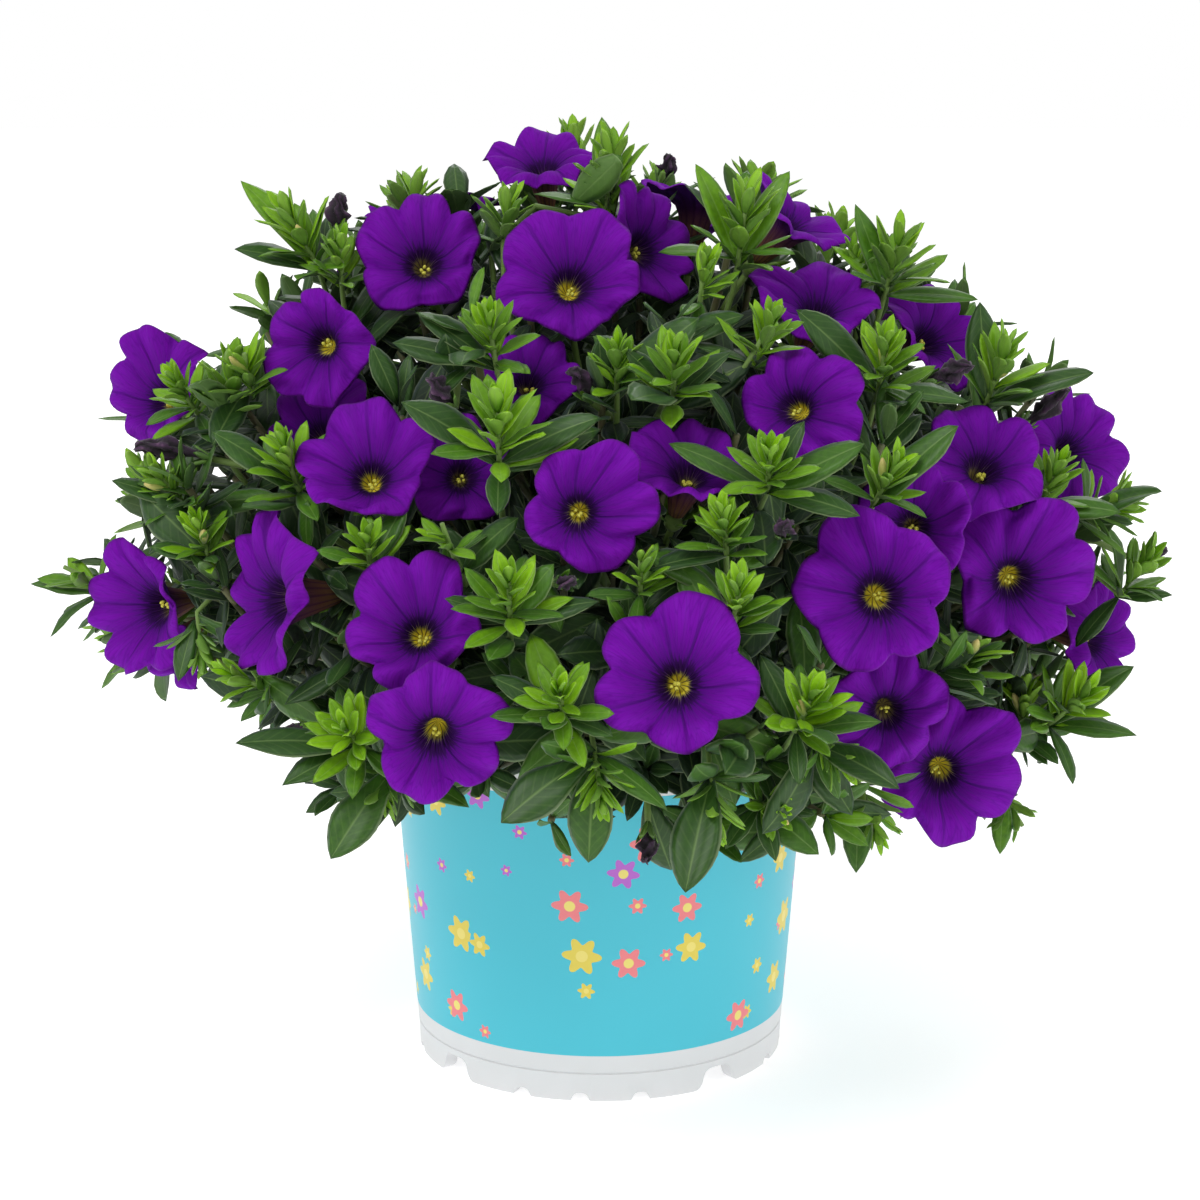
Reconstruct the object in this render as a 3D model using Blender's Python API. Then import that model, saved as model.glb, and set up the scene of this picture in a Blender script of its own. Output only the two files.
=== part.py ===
"""A calibrachoa in bloom in its round nursery pot, in metres, +Z up, with the origin under the pot's centre.

The plant is a mound of leafy stems that rise from the potting mix. Each stem is one solid with its
branches, leaves, flower stalks, calyxes and spent flowers. Each open flower's corolla is a solid of its own.
"""

import math
import random
from collections import namedtuple

import bmesh
import bpy
from mathutils import Matrix, Quaternion, Vector
from mathutils.bvhtree import BVHTree

MM = 0.001
GAP = 0.3 * MM
UP = Vector((0, 0, 1))
GOLDEN_ANGLE = math.radians(137.508)

# The pot, a round 11 cm nursery pot
POT_SIDES = 32
POT_HEIGHT = 94 * MM
WALL = 1.3 * MM
FOOT_RADIUS = 48.4 * MM
FOOT_INNER_RADIUS = 45 * MM
BAND_RADIUS = 49.2 * MM
SLEEVE_FOOT = (49.6 * MM, 12.8 * MM)
SLEEVE_HEAD = (55.0 * MM, 83.3 * MM)
RIM_RADIUS = 56.4 * MM
FLOOR_UNDERSIDE = 6.2 * MM
FLOOR_TOP = 7.8 * MM
ARCH_COUNT = 4
ARCH_WIDTH = 13 * MM
ARCH_HEIGHT = 5.9 * MM
NOTCH_WIDTH = 5.4 * MM
NOTCH_HEIGHT = 2.4 * MM
NOTCHES_PER_FOOT = 3
NOTCH_SPACING = math.radians(18.5)
FEET_TURN = math.radians(-6)
DRAIN_COUNT = 5
DRAIN_RADIUS = 3.2 * MM
DRAIN_RING = 31 * MM

# The potting mix and the holes that the stems stand in
SOIL_TOP = 85 * MM
STEM_FOOT = 66 * MM
HOLE_RADIUS = 2.5 * MM

# The mound that the flowers and shoots lie on, and where the photograph was taken from
MOUND_CENTRE = Vector((0, 0, 120 * MM))
MOUND_REACH = Vector((148 * MM, 134 * MM, 126 * MM))
MOUND_UNDER = 72 * MM
EYE = Vector((0, -850 * MM, 315 * MM))
EYE_DIP = math.radians(12.8)
FOCAL_PIXELS = 3296
FRAME_CENTRE_PIXEL = 600

# The stems. Each rises from its foot to a hub, where it parts into branches
CROWN = Vector((0, 0, 100 * MM))
SPRAY_COUNT = 16
LOWEST_SPRAY = -0.12
FOOT_RING = (6 * MM, 30 * MM)
HUB_REACH = 62 * MM
HUB_RISE = 52 * MM
HUB_LIFT = 10 * MM
STEM_SIDES = 4
STEM_RADIUS = 1.7 * MM
BRANCH_RADIUS = 1.2 * MM
STALK_RADIUS = 0.9 * MM
SPENT_RADII = (STALK_RADIUS, STALK_RADIUS, 0.8 * MM, 1.7 * MM, 2.4 * MM, 1.1 * MM)

# A branch starts on one of the nearest stems, bows to a side by a share of its length and rises by another.
# Its margins keep it clear of other stems, and of its own stem's other branches
NEAREST_STEMS = 5
BRANCH_SAG = 0.35
BRANCH_BOWS = (0, 0.15, -0.15, 0.3, -0.3, 0.5, -0.5, 0.7, -0.7)
BRANCH_RISES = (0, 0.2, -0.2, 0.4, 0.6)
BRANCH_MARGIN = 0.7 * MM
SIBLING_MARGIN = 0.3 * MM

# The leaves. A side leaf is turned about the shoot and lifted toward its tip, in degrees, and a long leaf's
# end is moved along the line of sight and up, in millimetres, until the leaf is clear
SIDE_LEAVES = 4
TOP_LEAVES = 2
LEAF_SHIFTS = ((0, 0), (22, -8), (-22, -8), (0, -22), (40, -14), (-40, -14), (0, 16), (70, -10))
LONG_LEAF_SHIFTS = ((0, 0), (-6, 0), (6, 0), (-12, 2), (12, -2), (-18, 4), (18, -4))
LONG_LEAF_BEND = math.radians(26)
LONG_LEAF_WIDTH = 9.5 * MM
BLADE_THICKNESS = 0.8 * MM
EDGE_RAISE = 0.15
LEAF_MARGIN = 0.8 * MM
LEAF_SIBLING_MARGIN = 0.2 * MM
SOCKETS_TRIED = 4
SOCKET_REACH = 6 * MM

# The open flowers. The tube's length is a share of the flower's width. The throat, the crease near the rim,
# the funnel inside, the notches and the bend of the lobes are shares of half the width
LOBES = 5
TUBE_LENGTH = 0.58
TUBE_FOOT_RADIUS = 1.5 * MM
THROAT_RADIUS = 0.34
THROAT_DROP = 0.36
CREASE_RADIUS = 0.93
FUNNEL_RADIUS = 0.3
FUNNEL_DROP = 0.24
FUNNEL_FLOOR = 0.72
NOTCH_DEPTH = 0.14
LOBE_BEND = 0.07
FLOWER_MARGIN = 0.5 * MM
FLOWER_KEPT_MARGIN = 0.3 * MM
CALYX_RADIUS = 2.1 * MM
CALYX_HEIGHT = 3.4 * MM
CALYX_DEPTH = 2.4 * MM
SEPAL_REACH = 6 * MM
SEPAL_HEIGHT = 6.5 * MM

# across and down are where a piece shows in the photograph's 1200 pixel frame. A flower turns to the right
# and tilts up from the viewer, in degrees. A shoot leans to the right of upright and toward the viewer, in
# degrees. Widths, leaf lengths and how far a piece is sunk in the mound are in millimetres.
Bloom = namedtuple("Bloom", "across down turn tilt width sunk")
Shoot = namedtuple("Shoot", "across down lean toward leaf sunk long_tips", defaults=((),))
Spent = namedtuple("Spent", "across down lean toward length sunk")

BLOOMS = (
    Bloom(541, 152, -17, 70, 30, 2),
    Bloom(418, 246, -5, 35, 35, 2),
    Bloom(569, 268, 0, 34, 37, 0),
    Bloom(655, 240, 48, 18, 34, 12),
    Bloom(800, 208, 70, 51, 33, 6),
    Bloom(812, 292, 12, 58, 33, 3),
    Bloom(938, 328, 45, 32, 32, 8),
    Bloom(803, 398, -12, 25, 32, 0),
    Bloom(312, 347, -20, 8, 30, 0),
    Bloom(150, 385, -38, 18, 33, 0),
    Bloom(364, 458, -8, 40, 34, 0),
    Bloom(313, 425, -25, 32, 33, 17),
    Bloom(462, 470, 5, 20, 28, 14),
    Bloom(590, 506, 6, 10, 32, 2),
    Bloom(692, 458, 22, 58, 33, 8),
    Bloom(982, 456, 10, 45, 34, 1),
    Bloom(1080, 441, 38, 25, 33, 4),
    Bloom(255, 594, -58, 6, 42, 0),
    Bloom(132, 610, -42, 2, 36, 2),
    Bloom(162, 652, -40, -22, 28, 17),
    Bloom(408, 618, -14, 30, 34, 0),
    Bloom(437, 735, -2, -6, 35, 1),
    Bloom(675, 673, 0, 18, 38, 0),
    Bloom(874, 590, 0, 12, 40, 0),
    Bloom(1028, 573, 10, 9, 39, 0),
    Bloom(1112, 634, 55, 4, 34, 8),
    Bloom(890, 712, 4, -2, 33, 14),
    Bloom(957, 771, 12, 4, 38, 0),
    Bloom(914, 520, -4, 18, 30, 12),
    Bloom(528, 372, 0, 42, 28, 16),
)

SHOOTS = (
    Shoot(612, 213, 0, 8, 21, 4, ((674, 132), (602, 106))),
    Shoot(316, 264, -25, 15, 20, 2, ((234, 247), (242, 177))),
    Shoot(195, 410, -25, 30, 15, 0, ()),
    Shoot(226, 410, 10, 10, 17, 3, ((262, 400),)),
    Shoot(183, 503, -35, 20, 15, 0, ((112, 478), (283, 498))),
    Shoot(297, 486, -12, 25, 17, 4, ((214, 428),)),
    Shoot(739, 258, 6, 15, 21, 2, ((700, 162), (788, 168))),
    Shoot(494, 360, -5, 30, 17, 1, ((421, 312),)),
    Shoot(499, 458, 0, 32, 22, 0, ((403, 398), (599, 414))),
    Shoot(673, 396, 2, 30, 18, 2, ((628, 346), (729, 348))),
    Shoot(757, 360, 18, 20, 16, 2, ()),
    Shoot(768, 486, 0, 38, 16, 0, ((670, 440), (800, 420), (861, 516))),
    Shoot(887, 288, 12, 15, 21, 1, ((859, 203), (979, 299))),
    Shoot(879, 386, 5, 28, 18, 1, ((800, 306), (969, 401))),
    Shoot(988, 400, 14, 18, 20, 2, ((981, 302), (1094, 370))),
    Shoot(876, 500, 22, 28, 16, 3, ((955, 422),)),
    Shoot(1040, 500, 22, 18, 15, 4, ((1122, 512),)),
    Shoot(1086, 516, 62, 20, 17, 2, ((1157, 493), (1134, 524))),
    Shoot(97, 590, -48, 20, 17, 0, ((29, 576), (172, 538))),
    Shoot(208, 555, -10, 30, 14, 3, ((150, 545),)),
    Shoot(360, 745, -22, 55, 18, 2, ((234, 742), (281, 786))),
    Shoot(510, 618, 0, 35, 18, 2, ((446, 596), (599, 599))),
    Shoot(563, 714, -5, 50, 17, 2, ((464, 715), (647, 748), (492, 674))),
    Shoot(734, 624, 5, 30, 16, 3, ((781, 628),)),
    Shoot(726, 548, -5, 25, 14, 5, ((644, 570),)),
    Shoot(798, 728, 14, 42, 19, 2, ((882, 720), (799, 786), (764, 654))),
    Shoot(1053, 722, 35, 35, 20, 1, ((1138, 735), (1132, 663))),
    Shoot(1122, 592, 30, 18, 17, 1, ((1173, 594), (1075, 648))),
    Shoot(763, 806, 70, 62, 11, 3, ((776, 862), (816, 815), (725, 850))),
    Shoot(862, 790, 160, 30, 15, 6, ((856, 874), (888, 862))),
    Shoot(390, 776, -150, 20, 12, 4, ((330, 860), (470, 808))),
    Shoot(596, 762, 170, 45, 14, 4, ((500, 824), (668, 811), (588, 864))),
    Shoot(712, 786, 175, 30, 14, 4, ((685, 894), (762, 768))),
    Shoot(820, 748, 120, 30, 12, 6, ((900, 789), (840, 800))),
    Shoot(270, 690, -60, 25, 15, 10, ((240, 722),)),
    Shoot(196, 628, 170, 15, 12, 8, ((178, 682),)),
    Shoot(252, 390, -8, 20, 16, 2, ()),
    Shoot(412, 218, 0, -15, 15, 8, ()),
    Shoot(1022, 732, 0, 15, 16, 6, ((1048, 765),)),
)

SPENT = (
    Spent(337, 240, 8, 10, 12, 3),
    Spent(212, 459, -78, 15, 19, 2),
    Spent(455, 408, -32, 35, 12, 8),
    Spent(592, 402, -30, 30, 11, 10),
    Spent(922, 384, 62, 25, 14, 6),
    Spent(1018, 430, 42, 20, 17, 8),
    Spent(778, 536, 25, 55, 9, 6),
    Spent(556, 584, 60, 50, 8, 8),
    Spent(1138, 562, 60, 10, 8, 4),
    Spent(648, 822, -175, 40, 10, 5),
    Spent(760, 728, 70, 50, 8, 8),
    Spent(312, 728, -80, 40, 8, 6),
    Spent(660, 186, 15, 10, 9, 22),
)

# How far behind or before its place a piece is moved to keep it clear of the others, in millimetres
DEPTHS_TRIED = (0, 3, -3, 6, -6, 9, -9, 12, -12, 15, 18)

# The side that the photograph doesn't show. Its blooms and shoots are the first ones that lie on that side
# among so many spread evenly over the dome by the golden angle, down to a lowest height, from a first turn
FAR_BLOOMS = 11
FAR_BLOOM_SPREAD = (30, -0.25, 0.4)
FAR_SHOOTS = 27
FAR_SHOOT_SPREAD = (62, -0.4, 1.9)
FAR_BLOOM_WIDTHS = (31, 38)
FAR_LEAF_LENGTHS = (15, 21)
FAR_REACH = Vector((138 * MM, 138 * MM, 112 * MM))
FAR_EDGE = 0.04
FAR_SLOPE = 0.2


def sight_line(across, down):
    """The direction from the eye to a point of the photograph."""
    forward = Vector((0, math.cos(EYE_DIP), -math.sin(EYE_DIP)))
    upward = Vector((0, math.sin(EYE_DIP), math.cos(EYE_DIP)))
    sideways = Vector((1, 0, 0))
    right = (across - FRAME_CENTRE_PIXEL) / FOCAL_PIXELS
    rise = (FRAME_CENTRE_PIXEL - down) / FOCAL_PIXELS
    return (forward + sideways * right + upward * rise).normalized()


def meets_mound(line, sunk, height):
    """How far along a sight line the mound's near side lies, a paraboloid that bulges toward the viewer."""
    reach = [MOUND_REACH.x - sunk, MOUND_REACH.y - sunk, height - sunk]
    start = [(e - c) / r for e, c, r in zip(EYE, MOUND_CENTRE, reach)]
    step = [d / r for d, r in zip(line, reach)]
    a = step[0] ** 2 + step[2] ** 2
    b = start[0] * step[0] + start[2] * step[2] - step[1] / 2
    c = start[0] ** 2 + start[2] ** 2 - start[1] - 1
    return (-b - math.sqrt(max(0.0, b * b - a * c))) / a


def on_mound(across, down, sunk):
    """The point of the mound, sunk by so many millimetres, that shows at this place in the photograph."""
    line = sight_line(across, down)
    point = EYE + line * meets_mound(line, sunk * MM, MOUND_REACH.z)
    if point.z < MOUND_CENTRE.z:
        point = EYE + line * meets_mound(line, sunk * MM, MOUND_UNDER)
    return point


def outward(point):
    """The mound's own direction outwards at a point."""
    height = MOUND_REACH.z if point.z > MOUND_CENTRE.z else MOUND_UNDER
    offset = point - MOUND_CENTRE
    reach = (MOUND_REACH.x, MOUND_REACH.y, height)
    return Vector([o / (r * r) for o, r in zip(offset, reach)]).normalized()


def facing(turn, tilt):
    """The way a flower looks."""
    turn, tilt = math.radians(turn), math.radians(tilt)
    return Vector((math.sin(turn) * math.cos(tilt), -math.cos(turn) * math.cos(tilt), math.sin(tilt)))


def leaning(lean, toward):
    """The way a shoot grows."""
    lean, toward = math.radians(lean), math.radians(toward)
    return Vector((math.sin(lean) * math.cos(toward), -math.sin(toward), math.cos(lean) * math.cos(toward)))


def even_directions(count, lowest):
    """Directions spread evenly over the dome, from straight up down to the lowest height."""
    for i in range(count):
        z = 1 - (1 - lowest) * (i + 0.5) / count
        flat = math.sqrt(1 - z * z)
        yield Vector((flat * math.cos(i * GOLDEN_ANGLE), flat * math.sin(i * GOLDEN_ANGLE), z))


def far_points(count, total, lowest, first_turn):
    """Points of the mound on the side away from the eye."""
    found = []
    for direction in even_directions(total, lowest):
        way = Quaternion(UP, first_turn) @ direction
        if way.y > FAR_EDGE + FAR_SLOPE * abs(way.x):
            height = FAR_REACH.z if way.z > 0 else MOUND_UNDER
            found.append(MOUND_CENTRE + Vector((way.x * FAR_REACH.x, way.y * FAR_REACH.y, way.z * height)))
    return found[:count]


Flower = namedtuple("Flower", "place way width roll")
Tip = namedtuple("Tip", "place way leaf long_tips seed")
Faded = namedtuple("Faded", "place way length")


def nearer_and_further(piece):
    """The places that a piece may take: its own, and then nearer or further along the line of sight."""
    line = (piece.place - EYE).normalized()
    for depth in DEPTHS_TRIED:
        yield piece._replace(place=piece.place + line * depth * MM)


def all_flowers():
    """Every open flower: the place of its face's centre, the way it looks, its width and its roll."""
    flowers = []
    for i, b in enumerate(BLOOMS):
        place = on_mound(b.across, b.down, b.sunk)
        flowers.append(Flower(place, facing(b.turn, b.tilt), b.width * MM, i * 0.7))
    for i, place in enumerate(far_points(FAR_BLOOMS, *FAR_BLOOM_SPREAD)):
        draw = random.Random(300 + i)
        way = (outward(place) + UP * draw.uniform(0.1, 0.5)).normalized()
        flowers.append(Flower(place, way, draw.uniform(*FAR_BLOOM_WIDTHS) * MM, i * 1.1))
    return flowers


def all_tips():
    """Every leafy shoot's tip: its place, the way it grows, its leaf length and its long leaves' ends."""
    tips = []
    for i, s in enumerate(SHOOTS):
        place = on_mound(s.across, s.down, s.sunk)
        away = (place - EYE).length
        ends = tuple(EYE + sight_line(*pixel) * (away - 4 * MM) for pixel in s.long_tips)
        tips.append(Tip(place, leaning(s.lean, s.toward), s.leaf * MM, ends, i))
    for i, place in enumerate(far_points(FAR_SHOOTS, *FAR_SHOOT_SPREAD)):
        draw = random.Random(500 + i)
        way = (outward(place) * 0.8 + UP * draw.uniform(0.3, 0.8)).normalized()
        inner = place - outward(place) * 5 * MM
        tips.append(Tip(inner, way, draw.uniform(*FAR_LEAF_LENGTHS) * MM, (), 100 + i))
    return tips


def all_faded():
    """Every spent flower: the place of its foot, the way it points and its length."""
    feet = [on_mound(s.across, s.down, s.sunk) for s in SPENT]
    return [Faded(foot, leaning(s.lean, s.toward), s.length * MM) for foot, s in zip(feet, SPENT)]


Blade = namedtuple("Blade", "root way sections tip")


def bezier(a, b, c, count):
    """Evenly spaced points of the curve from a to c that is drawn toward b."""
    steps = [i / count for i in range(count + 1)]
    return [a * (1 - t) ** 2 + b * 2 * t * (1 - t) + c * t * t for t in steps]


def tapering(start, end, count):
    return [start + (end - start) * i / (count - 1) for i in range(count)]


def rings_along(path, radii, sides):
    """A ring of points round each point of a path, with no twist from one ring to the next."""
    rings = []
    side = (path[1] - path[0]).orthogonal()
    for i, point in enumerate(path):
        along = (path[min(i + 1, len(path) - 1)] - path[max(i - 1, 0)]).normalized()
        side = (side - along * side.dot(along)).normalized()
        other = along.cross(side)
        turns = [2 * math.pi * j / sides for j in range(sides)]
        rings.append([point + (side * math.cos(t) + other * math.sin(t)) * radii[i] for t in turns])
    return rings


def move(face, points):
    for vert, point in zip(face.verts, points):
        vert.co = point


def grow_stem(bm, rings):
    """A closed stem, extruded from the first ring of points through the others, with its end face."""
    end = bm.faces.new([bm.verts.new(point) for point in rings[0]])
    grown = bmesh.ops.extrude_face_region(bm, geom=[end], use_keep_orig=True)["geom"]
    end = next(piece for piece in grown if isinstance(piece, bmesh.types.BMFace))
    move(end, rings[1])
    for ring in rings[2:]:
        end = bmesh.ops.extrude_discrete_faces(bm, faces=[end])["faces"][0]
        move(end, ring)
    return end


def sides_of(end):
    """The side faces that lie round an extruded end face."""
    return [next(face for face in edge.link_faces if face is not end) for edge in end.edges]


def widest_face(bm):
    """The face with the most corners."""
    return max(bm.faces, key=lambda face: len(face.verts))


def pull_point(bm, face, point):
    """Draws a face out to a point."""
    bmesh.ops.poke(bm, faces=[face])["verts"][0].co = point


def grow_blade(bm, face, blade):
    """Extrudes a leaf out of a three-sided face, turned so that the leaf isn't twisted."""
    corners = [vert.co.copy() for vert in face.verts]
    for section in blade.sections:
        middle = sum(section, Vector()) / 3
        centre = sum(corners, Vector()) / 3
        turns = [section[j:] + section[:j] for j in range(3)]
        section = max(turns, key=lambda s: sum((a - centre).dot(b - middle) for a, b in zip(corners, s)))
        face = bmesh.ops.extrude_discrete_faces(bm, faces=[face])["faces"][0]
        move(face, section)
        corners = section
    pull_point(bm, face, blade.tip)


def loose_blade(blade, first):
    """A leaf by itself, from a share of the way to its first section, to test whether it is clear."""
    bm = bmesh.new()
    middle = sum(blade.sections[0], Vector()) / 3
    start = blade.root.lerp(middle, first)
    corners = [start + (point - middle) * (0.2 + 0.4 * first) for point in blade.sections[0]]
    face = bm.faces.new([bm.verts.new(point) for point in corners])
    grown = bmesh.ops.extrude_face_region(bm, geom=[face], use_keep_orig=True)["geom"]
    face = next(piece for piece in grown if isinstance(piece, bmesh.types.BMFace))
    move(face, blade.sections[0])
    for section in blade.sections[1:]:
        face = bmesh.ops.extrude_discrete_faces(bm, faces=[face])["faces"][0]
        move(face, section)
    pull_point(bm, face, blade.tip)
    return bm


def leaf(root, way, face, length, width, bend, stations, margin=0.0):
    """A leaf as an arched blade: at each station its two edges, which are raised a little, and its keel."""
    side = way.cross(face).normalized()
    face = side.cross(way).normalized()

    def middle(t):
        turn = bend * t
        along, drop = math.sin(turn) / bend, (1 - math.cos(turn)) / bend
        return root + (way * along - face * drop) * length, face * math.cos(turn) + way * math.sin(turn)

    sections = []
    for t, share in stations:
        point, above = middle(t)
        half = width / 2 * share + margin
        lift = above * (half * EDGE_RAISE + margin / 2)
        keel = point - above * (BLADE_THICKNESS * 0.8 + margin / 2)
        sections.append([point - side * half + lift, point + side * half + lift, keel])
    end = middle(1)[0]
    return Blade(root, way, sections, end + (end - middle(0.8)[0]).normalized() * margin)


def ring_points(flower, side, radius, height, sides, offset=0.0):
    """Points evenly round a flower's axis."""
    other = flower.way.cross(side)
    turns = [2 * math.pi * (j + offset) / sides for j in range(sides)]
    centre = flower.place + flower.way * height
    return [centre + (side * math.cos(t) + other * math.sin(t)) * radius for t in turns]


def flower_side(flower):
    return Quaternion(flower.way, flower.roll) @ flower.way.orthogonal().normalized()


def corolla(flower, margin=0.0):
    """An open flower's trumpet: a slim tube, a throat and a limb of five broad lobes."""
    half = flower.width / 2
    depth = flower.width * TUBE_LENGTH
    side = flower_side(flower)

    def ring(radius, height):
        return ring_points(flower, side, radius, height, LOBES, 0.5)

    bm = bmesh.new()
    throat_radius = half * THROAT_RADIUS + margin
    foot = ring(TUBE_FOOT_RADIUS + margin, -depth)
    throat = ring(throat_radius, -half * THROAT_DROP - margin)
    end = grow_stem(bm, [foot, throat])
    bmesh.ops.subdivide_edges(bm, edges=list(end.edges), cuts=1)
    end = widest_face(bm)
    round_off(end, flower, throat_radius)
    crease = (half * CREASE_RADIUS + margin, 0)
    funnel = (half * FUNNEL_RADIUS, -half * FUNNEL_DROP + margin)
    for radius, height in (crease, funnel):
        rim = list(end.verts)
        end = bmesh.ops.extrude_discrete_faces(bm, faces=[end])["faces"][0]
        for vert, point in zip(end.verts, shifted(end, flower, radius, height)):
            vert.co = point
    pull_point(bm, end, flower.place - flower.way * depth * FUNNEL_FLOOR)
    edges = [edge for edge in bm.edges if edge.verts[0] in rim and edge.verts[1] in rim]
    bmesh.ops.subdivide_edges(bm, edges=edges, cuts=1)
    shape_rim(bm, flower, side, half + margin)
    bmesh.ops.triangulate(bm, faces=bm.faces)
    return bm


def shifted(face, flower, radius, height):
    """The corners of a face moved out to a radius and a height about the flower's axis."""
    for vert in face.verts:
        offset = vert.co - flower.place
        out = (offset - flower.way * offset.dot(flower.way)).normalized()
        yield flower.place + out * radius + flower.way * height


def round_off(face, flower, radius):
    """Puts all the corners of a face at one radius from the flower's axis."""
    for vert in face.verts:
        height = (vert.co - flower.place).dot(flower.way)
        out = (vert.co - flower.place - flower.way * height).normalized()
        vert.co = flower.place + out * radius + flower.way * height


def shape_rim(bm, flower, side, radius):
    """Draws the limb's margin out into lobes, bent back a little, and in at the notches between them."""
    other = flower.way.cross(side)
    for vert in bm.verts:
        offset = vert.co - flower.place
        if offset.length < radius * 0.75 or abs(offset.dot(flower.way)) > radius * 0.1:
            continue
        turn = math.atan2(offset.dot(other), offset.dot(side))
        notch = math.cos(turn * LOBES) * 0.5 + 0.5
        reach = radius * (1 - NOTCH_DEPTH * notch ** 3)
        out = (side * math.cos(turn) + other * math.sin(turn)) * reach
        vert.co = flower.place + out - flower.way * radius * LOBE_BEND * (1 - notch)


def calyx_foot(flower):
    """Where a flower's stalk ends in its calyx."""
    return flower.place - flower.way * (flower.width * TUBE_LENGTH + GAP + CALYX_HEIGHT)


def stalk(flower, path, radii):
    """A flower's stalk, which widens into a cup with five sepals that stand clear of the tube."""
    side = flower_side(flower)
    floor = -(flower.width * TUBE_LENGTH + GAP)
    cup = ring_points(flower, side, CALYX_RADIUS, floor, LOBES)
    bm = bmesh.new()
    rings = rings_along(path, radii, LOBES)
    last = rings[-1]
    turns = [cup[j:] + cup[:j] for j in range(LOBES)]
    cup = min(turns, key=lambda c: sum((a - b).length for a, b in zip(last, c)))
    end = grow_stem(bm, rings + [cup])
    added = bmesh.ops.subdivide_edges(bm, edges=list(end.edges), cuts=1)["geom_inner"]
    pull_point(bm, widest_face(bm), flower.place + flower.way * (floor - CALYX_DEPTH))
    for vert in added:
        if isinstance(vert, bmesh.types.BMVert):
            out = vert.co - (flower.place + flower.way * floor)
            out = (out - flower.way * out.dot(flower.way)).normalized()
            vert.co = flower.place + flower.way * (floor + SEPAL_HEIGHT) + out * SEPAL_REACH
    bmesh.ops.triangulate(bm, faces=bm.faces)
    return bm


def leafy_stem(path, radii, bare, blades):
    """A branch whose leaves grow out of the sides and the end of its last stretches. A leaf that would cross
    the others from every side is left out."""
    bm = bmesh.new()
    free = bm.faces.layers.int.new("free")
    rings = rings_along(path, radii, STEM_SIDES)
    end = grow_stem(bm, rings[: bare + 1])
    sockets = []
    for ring in rings[bare + 1 :]:
        end = bmesh.ops.extrude_discrete_faces(bm, faces=[end])["faces"][0]
        move(end, ring)
        sockets += sides_of(end)
    sockets += bmesh.ops.triangulate(bm, faces=[end])["faces"]
    for face in sockets:
        face[free] = 1
    for blade in blades:
        for rank in range(SOCKETS_TRIED):
            trial = bm.copy()
            if grow_on_socket(trial, blade, rank) and not crosses_itself(trial):
                bm.free()
                bm = trial
                break
            trial.free()
    return bm


def grow_on_socket(bm, blade, rank):
    """Grows a leaf on the stem's free face that suits it best, or on the next best by rank."""
    free = bm.faces.layers.int["free"]
    bm.normal_update()

    def fit(face):
        return face.normal.dot(blade.way) - (face.calc_center_median() - blade.root).length / SOCKET_REACH

    sockets = sorted((face for face in bm.faces if face[free]), key=fit)
    if len(sockets) <= rank:
        return False
    face = sockets[-1 - rank]
    halves = [face]
    if len(face.verts) == 4:
        halves = bmesh.ops.triangulate(bm, faces=[face])["faces"]
    for half in halves:
        half[free] = 0
    grow_blade(bm, max(halves, key=lambda half: half.calc_center_median().dot(blade.way)), blade)
    return True


def crosses_itself(bm):
    """True if two faces that share no corner cross."""
    tree = BVHTree.FromBMesh(bm)
    bm.faces.ensure_lookup_table()
    for a, b in tree.overlap(tree):
        if a < b and not set(bm.faces[a].verts) & set(bm.faces[b].verts):
            return True
    return False


Placed = namedtuple("Placed", "owner centre radius tree")


def extent(bm):
    """A sphere that holds a mesh, as its centre and radius."""
    centre = sum((vert.co for vert in bm.verts), Vector()) / len(bm.verts)
    return centre, max((vert.co - centre).length for vert in bm.verts)


class Room:
    """What has been placed so far, so that a new piece can be kept clear of it."""

    def __init__(self):
        self.pieces = []

    def add(self, owner, bm):
        self.pieces.append(Placed(owner, *extent(bm), BVHTree.FromBMesh(bm)))

    def clear(self, bm, owner=None, only=None):
        """True if the mesh crosses nothing, leaving out one owner's pieces or reading only those."""
        centre, radius = extent(bm)
        tree = None
        for piece in self.pieces:
            if piece.owner == owner or (only is not None and piece.owner != only):
                continue
            if (piece.centre - centre).length > piece.radius + radius:
                continue
            tree = tree or BVHTree.FromBMesh(bm)
            if tree.overlap(piece.tree):
                return False
        return True


def material(name, colour, roughness):
    made = bpy.data.materials.new(name)
    made.use_nodes = True
    shader = made.node_tree.nodes["Principled BSDF"]
    shader.inputs["Base Color"].default_value = (*colour, 1)
    shader.inputs["Roughness"].default_value = roughness
    return made


def solid_object(name, bm, finish=None):
    """An object from a closed mesh, with its faces pointing outwards."""
    bmesh.ops.recalc_face_normals(bm, faces=bm.faces)
    mesh = bpy.data.meshes.new(name)
    bm.to_mesh(mesh)
    bm.free()
    made = bpy.data.objects.new(name, mesh)
    bpy.context.scene.collection.objects.link(made)
    if finish:
        mesh.materials.append(finish)
    return made


def combined(base, solids, operation, solver="EXACT"):
    """Joins solids to an object, or cuts them from it, in one Boolean that is applied."""
    group = bpy.data.collections.new(base.name + "_tools")
    bpy.context.scene.collection.children.link(group)
    for i, solid in enumerate(solids):
        tool = solid_object(f"{base.name}_tool_{i}", solid)
        bpy.context.scene.collection.objects.unlink(tool)
        group.objects.link(tool)
    modifier = base.modifiers.new("combine", "BOOLEAN")
    modifier.operation = operation
    modifier.operand_type = "COLLECTION"
    modifier.collection = group
    modifier.solver = solver
    graph = bpy.context.evaluated_depsgraph_get()
    made = bpy.data.meshes.new_from_object(base.evaluated_get(graph))
    base.modifiers.clear()
    base.data = made
    for tool in list(group.objects):
        bpy.data.objects.remove(tool)
    bpy.data.collections.remove(group)
    return base


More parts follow.
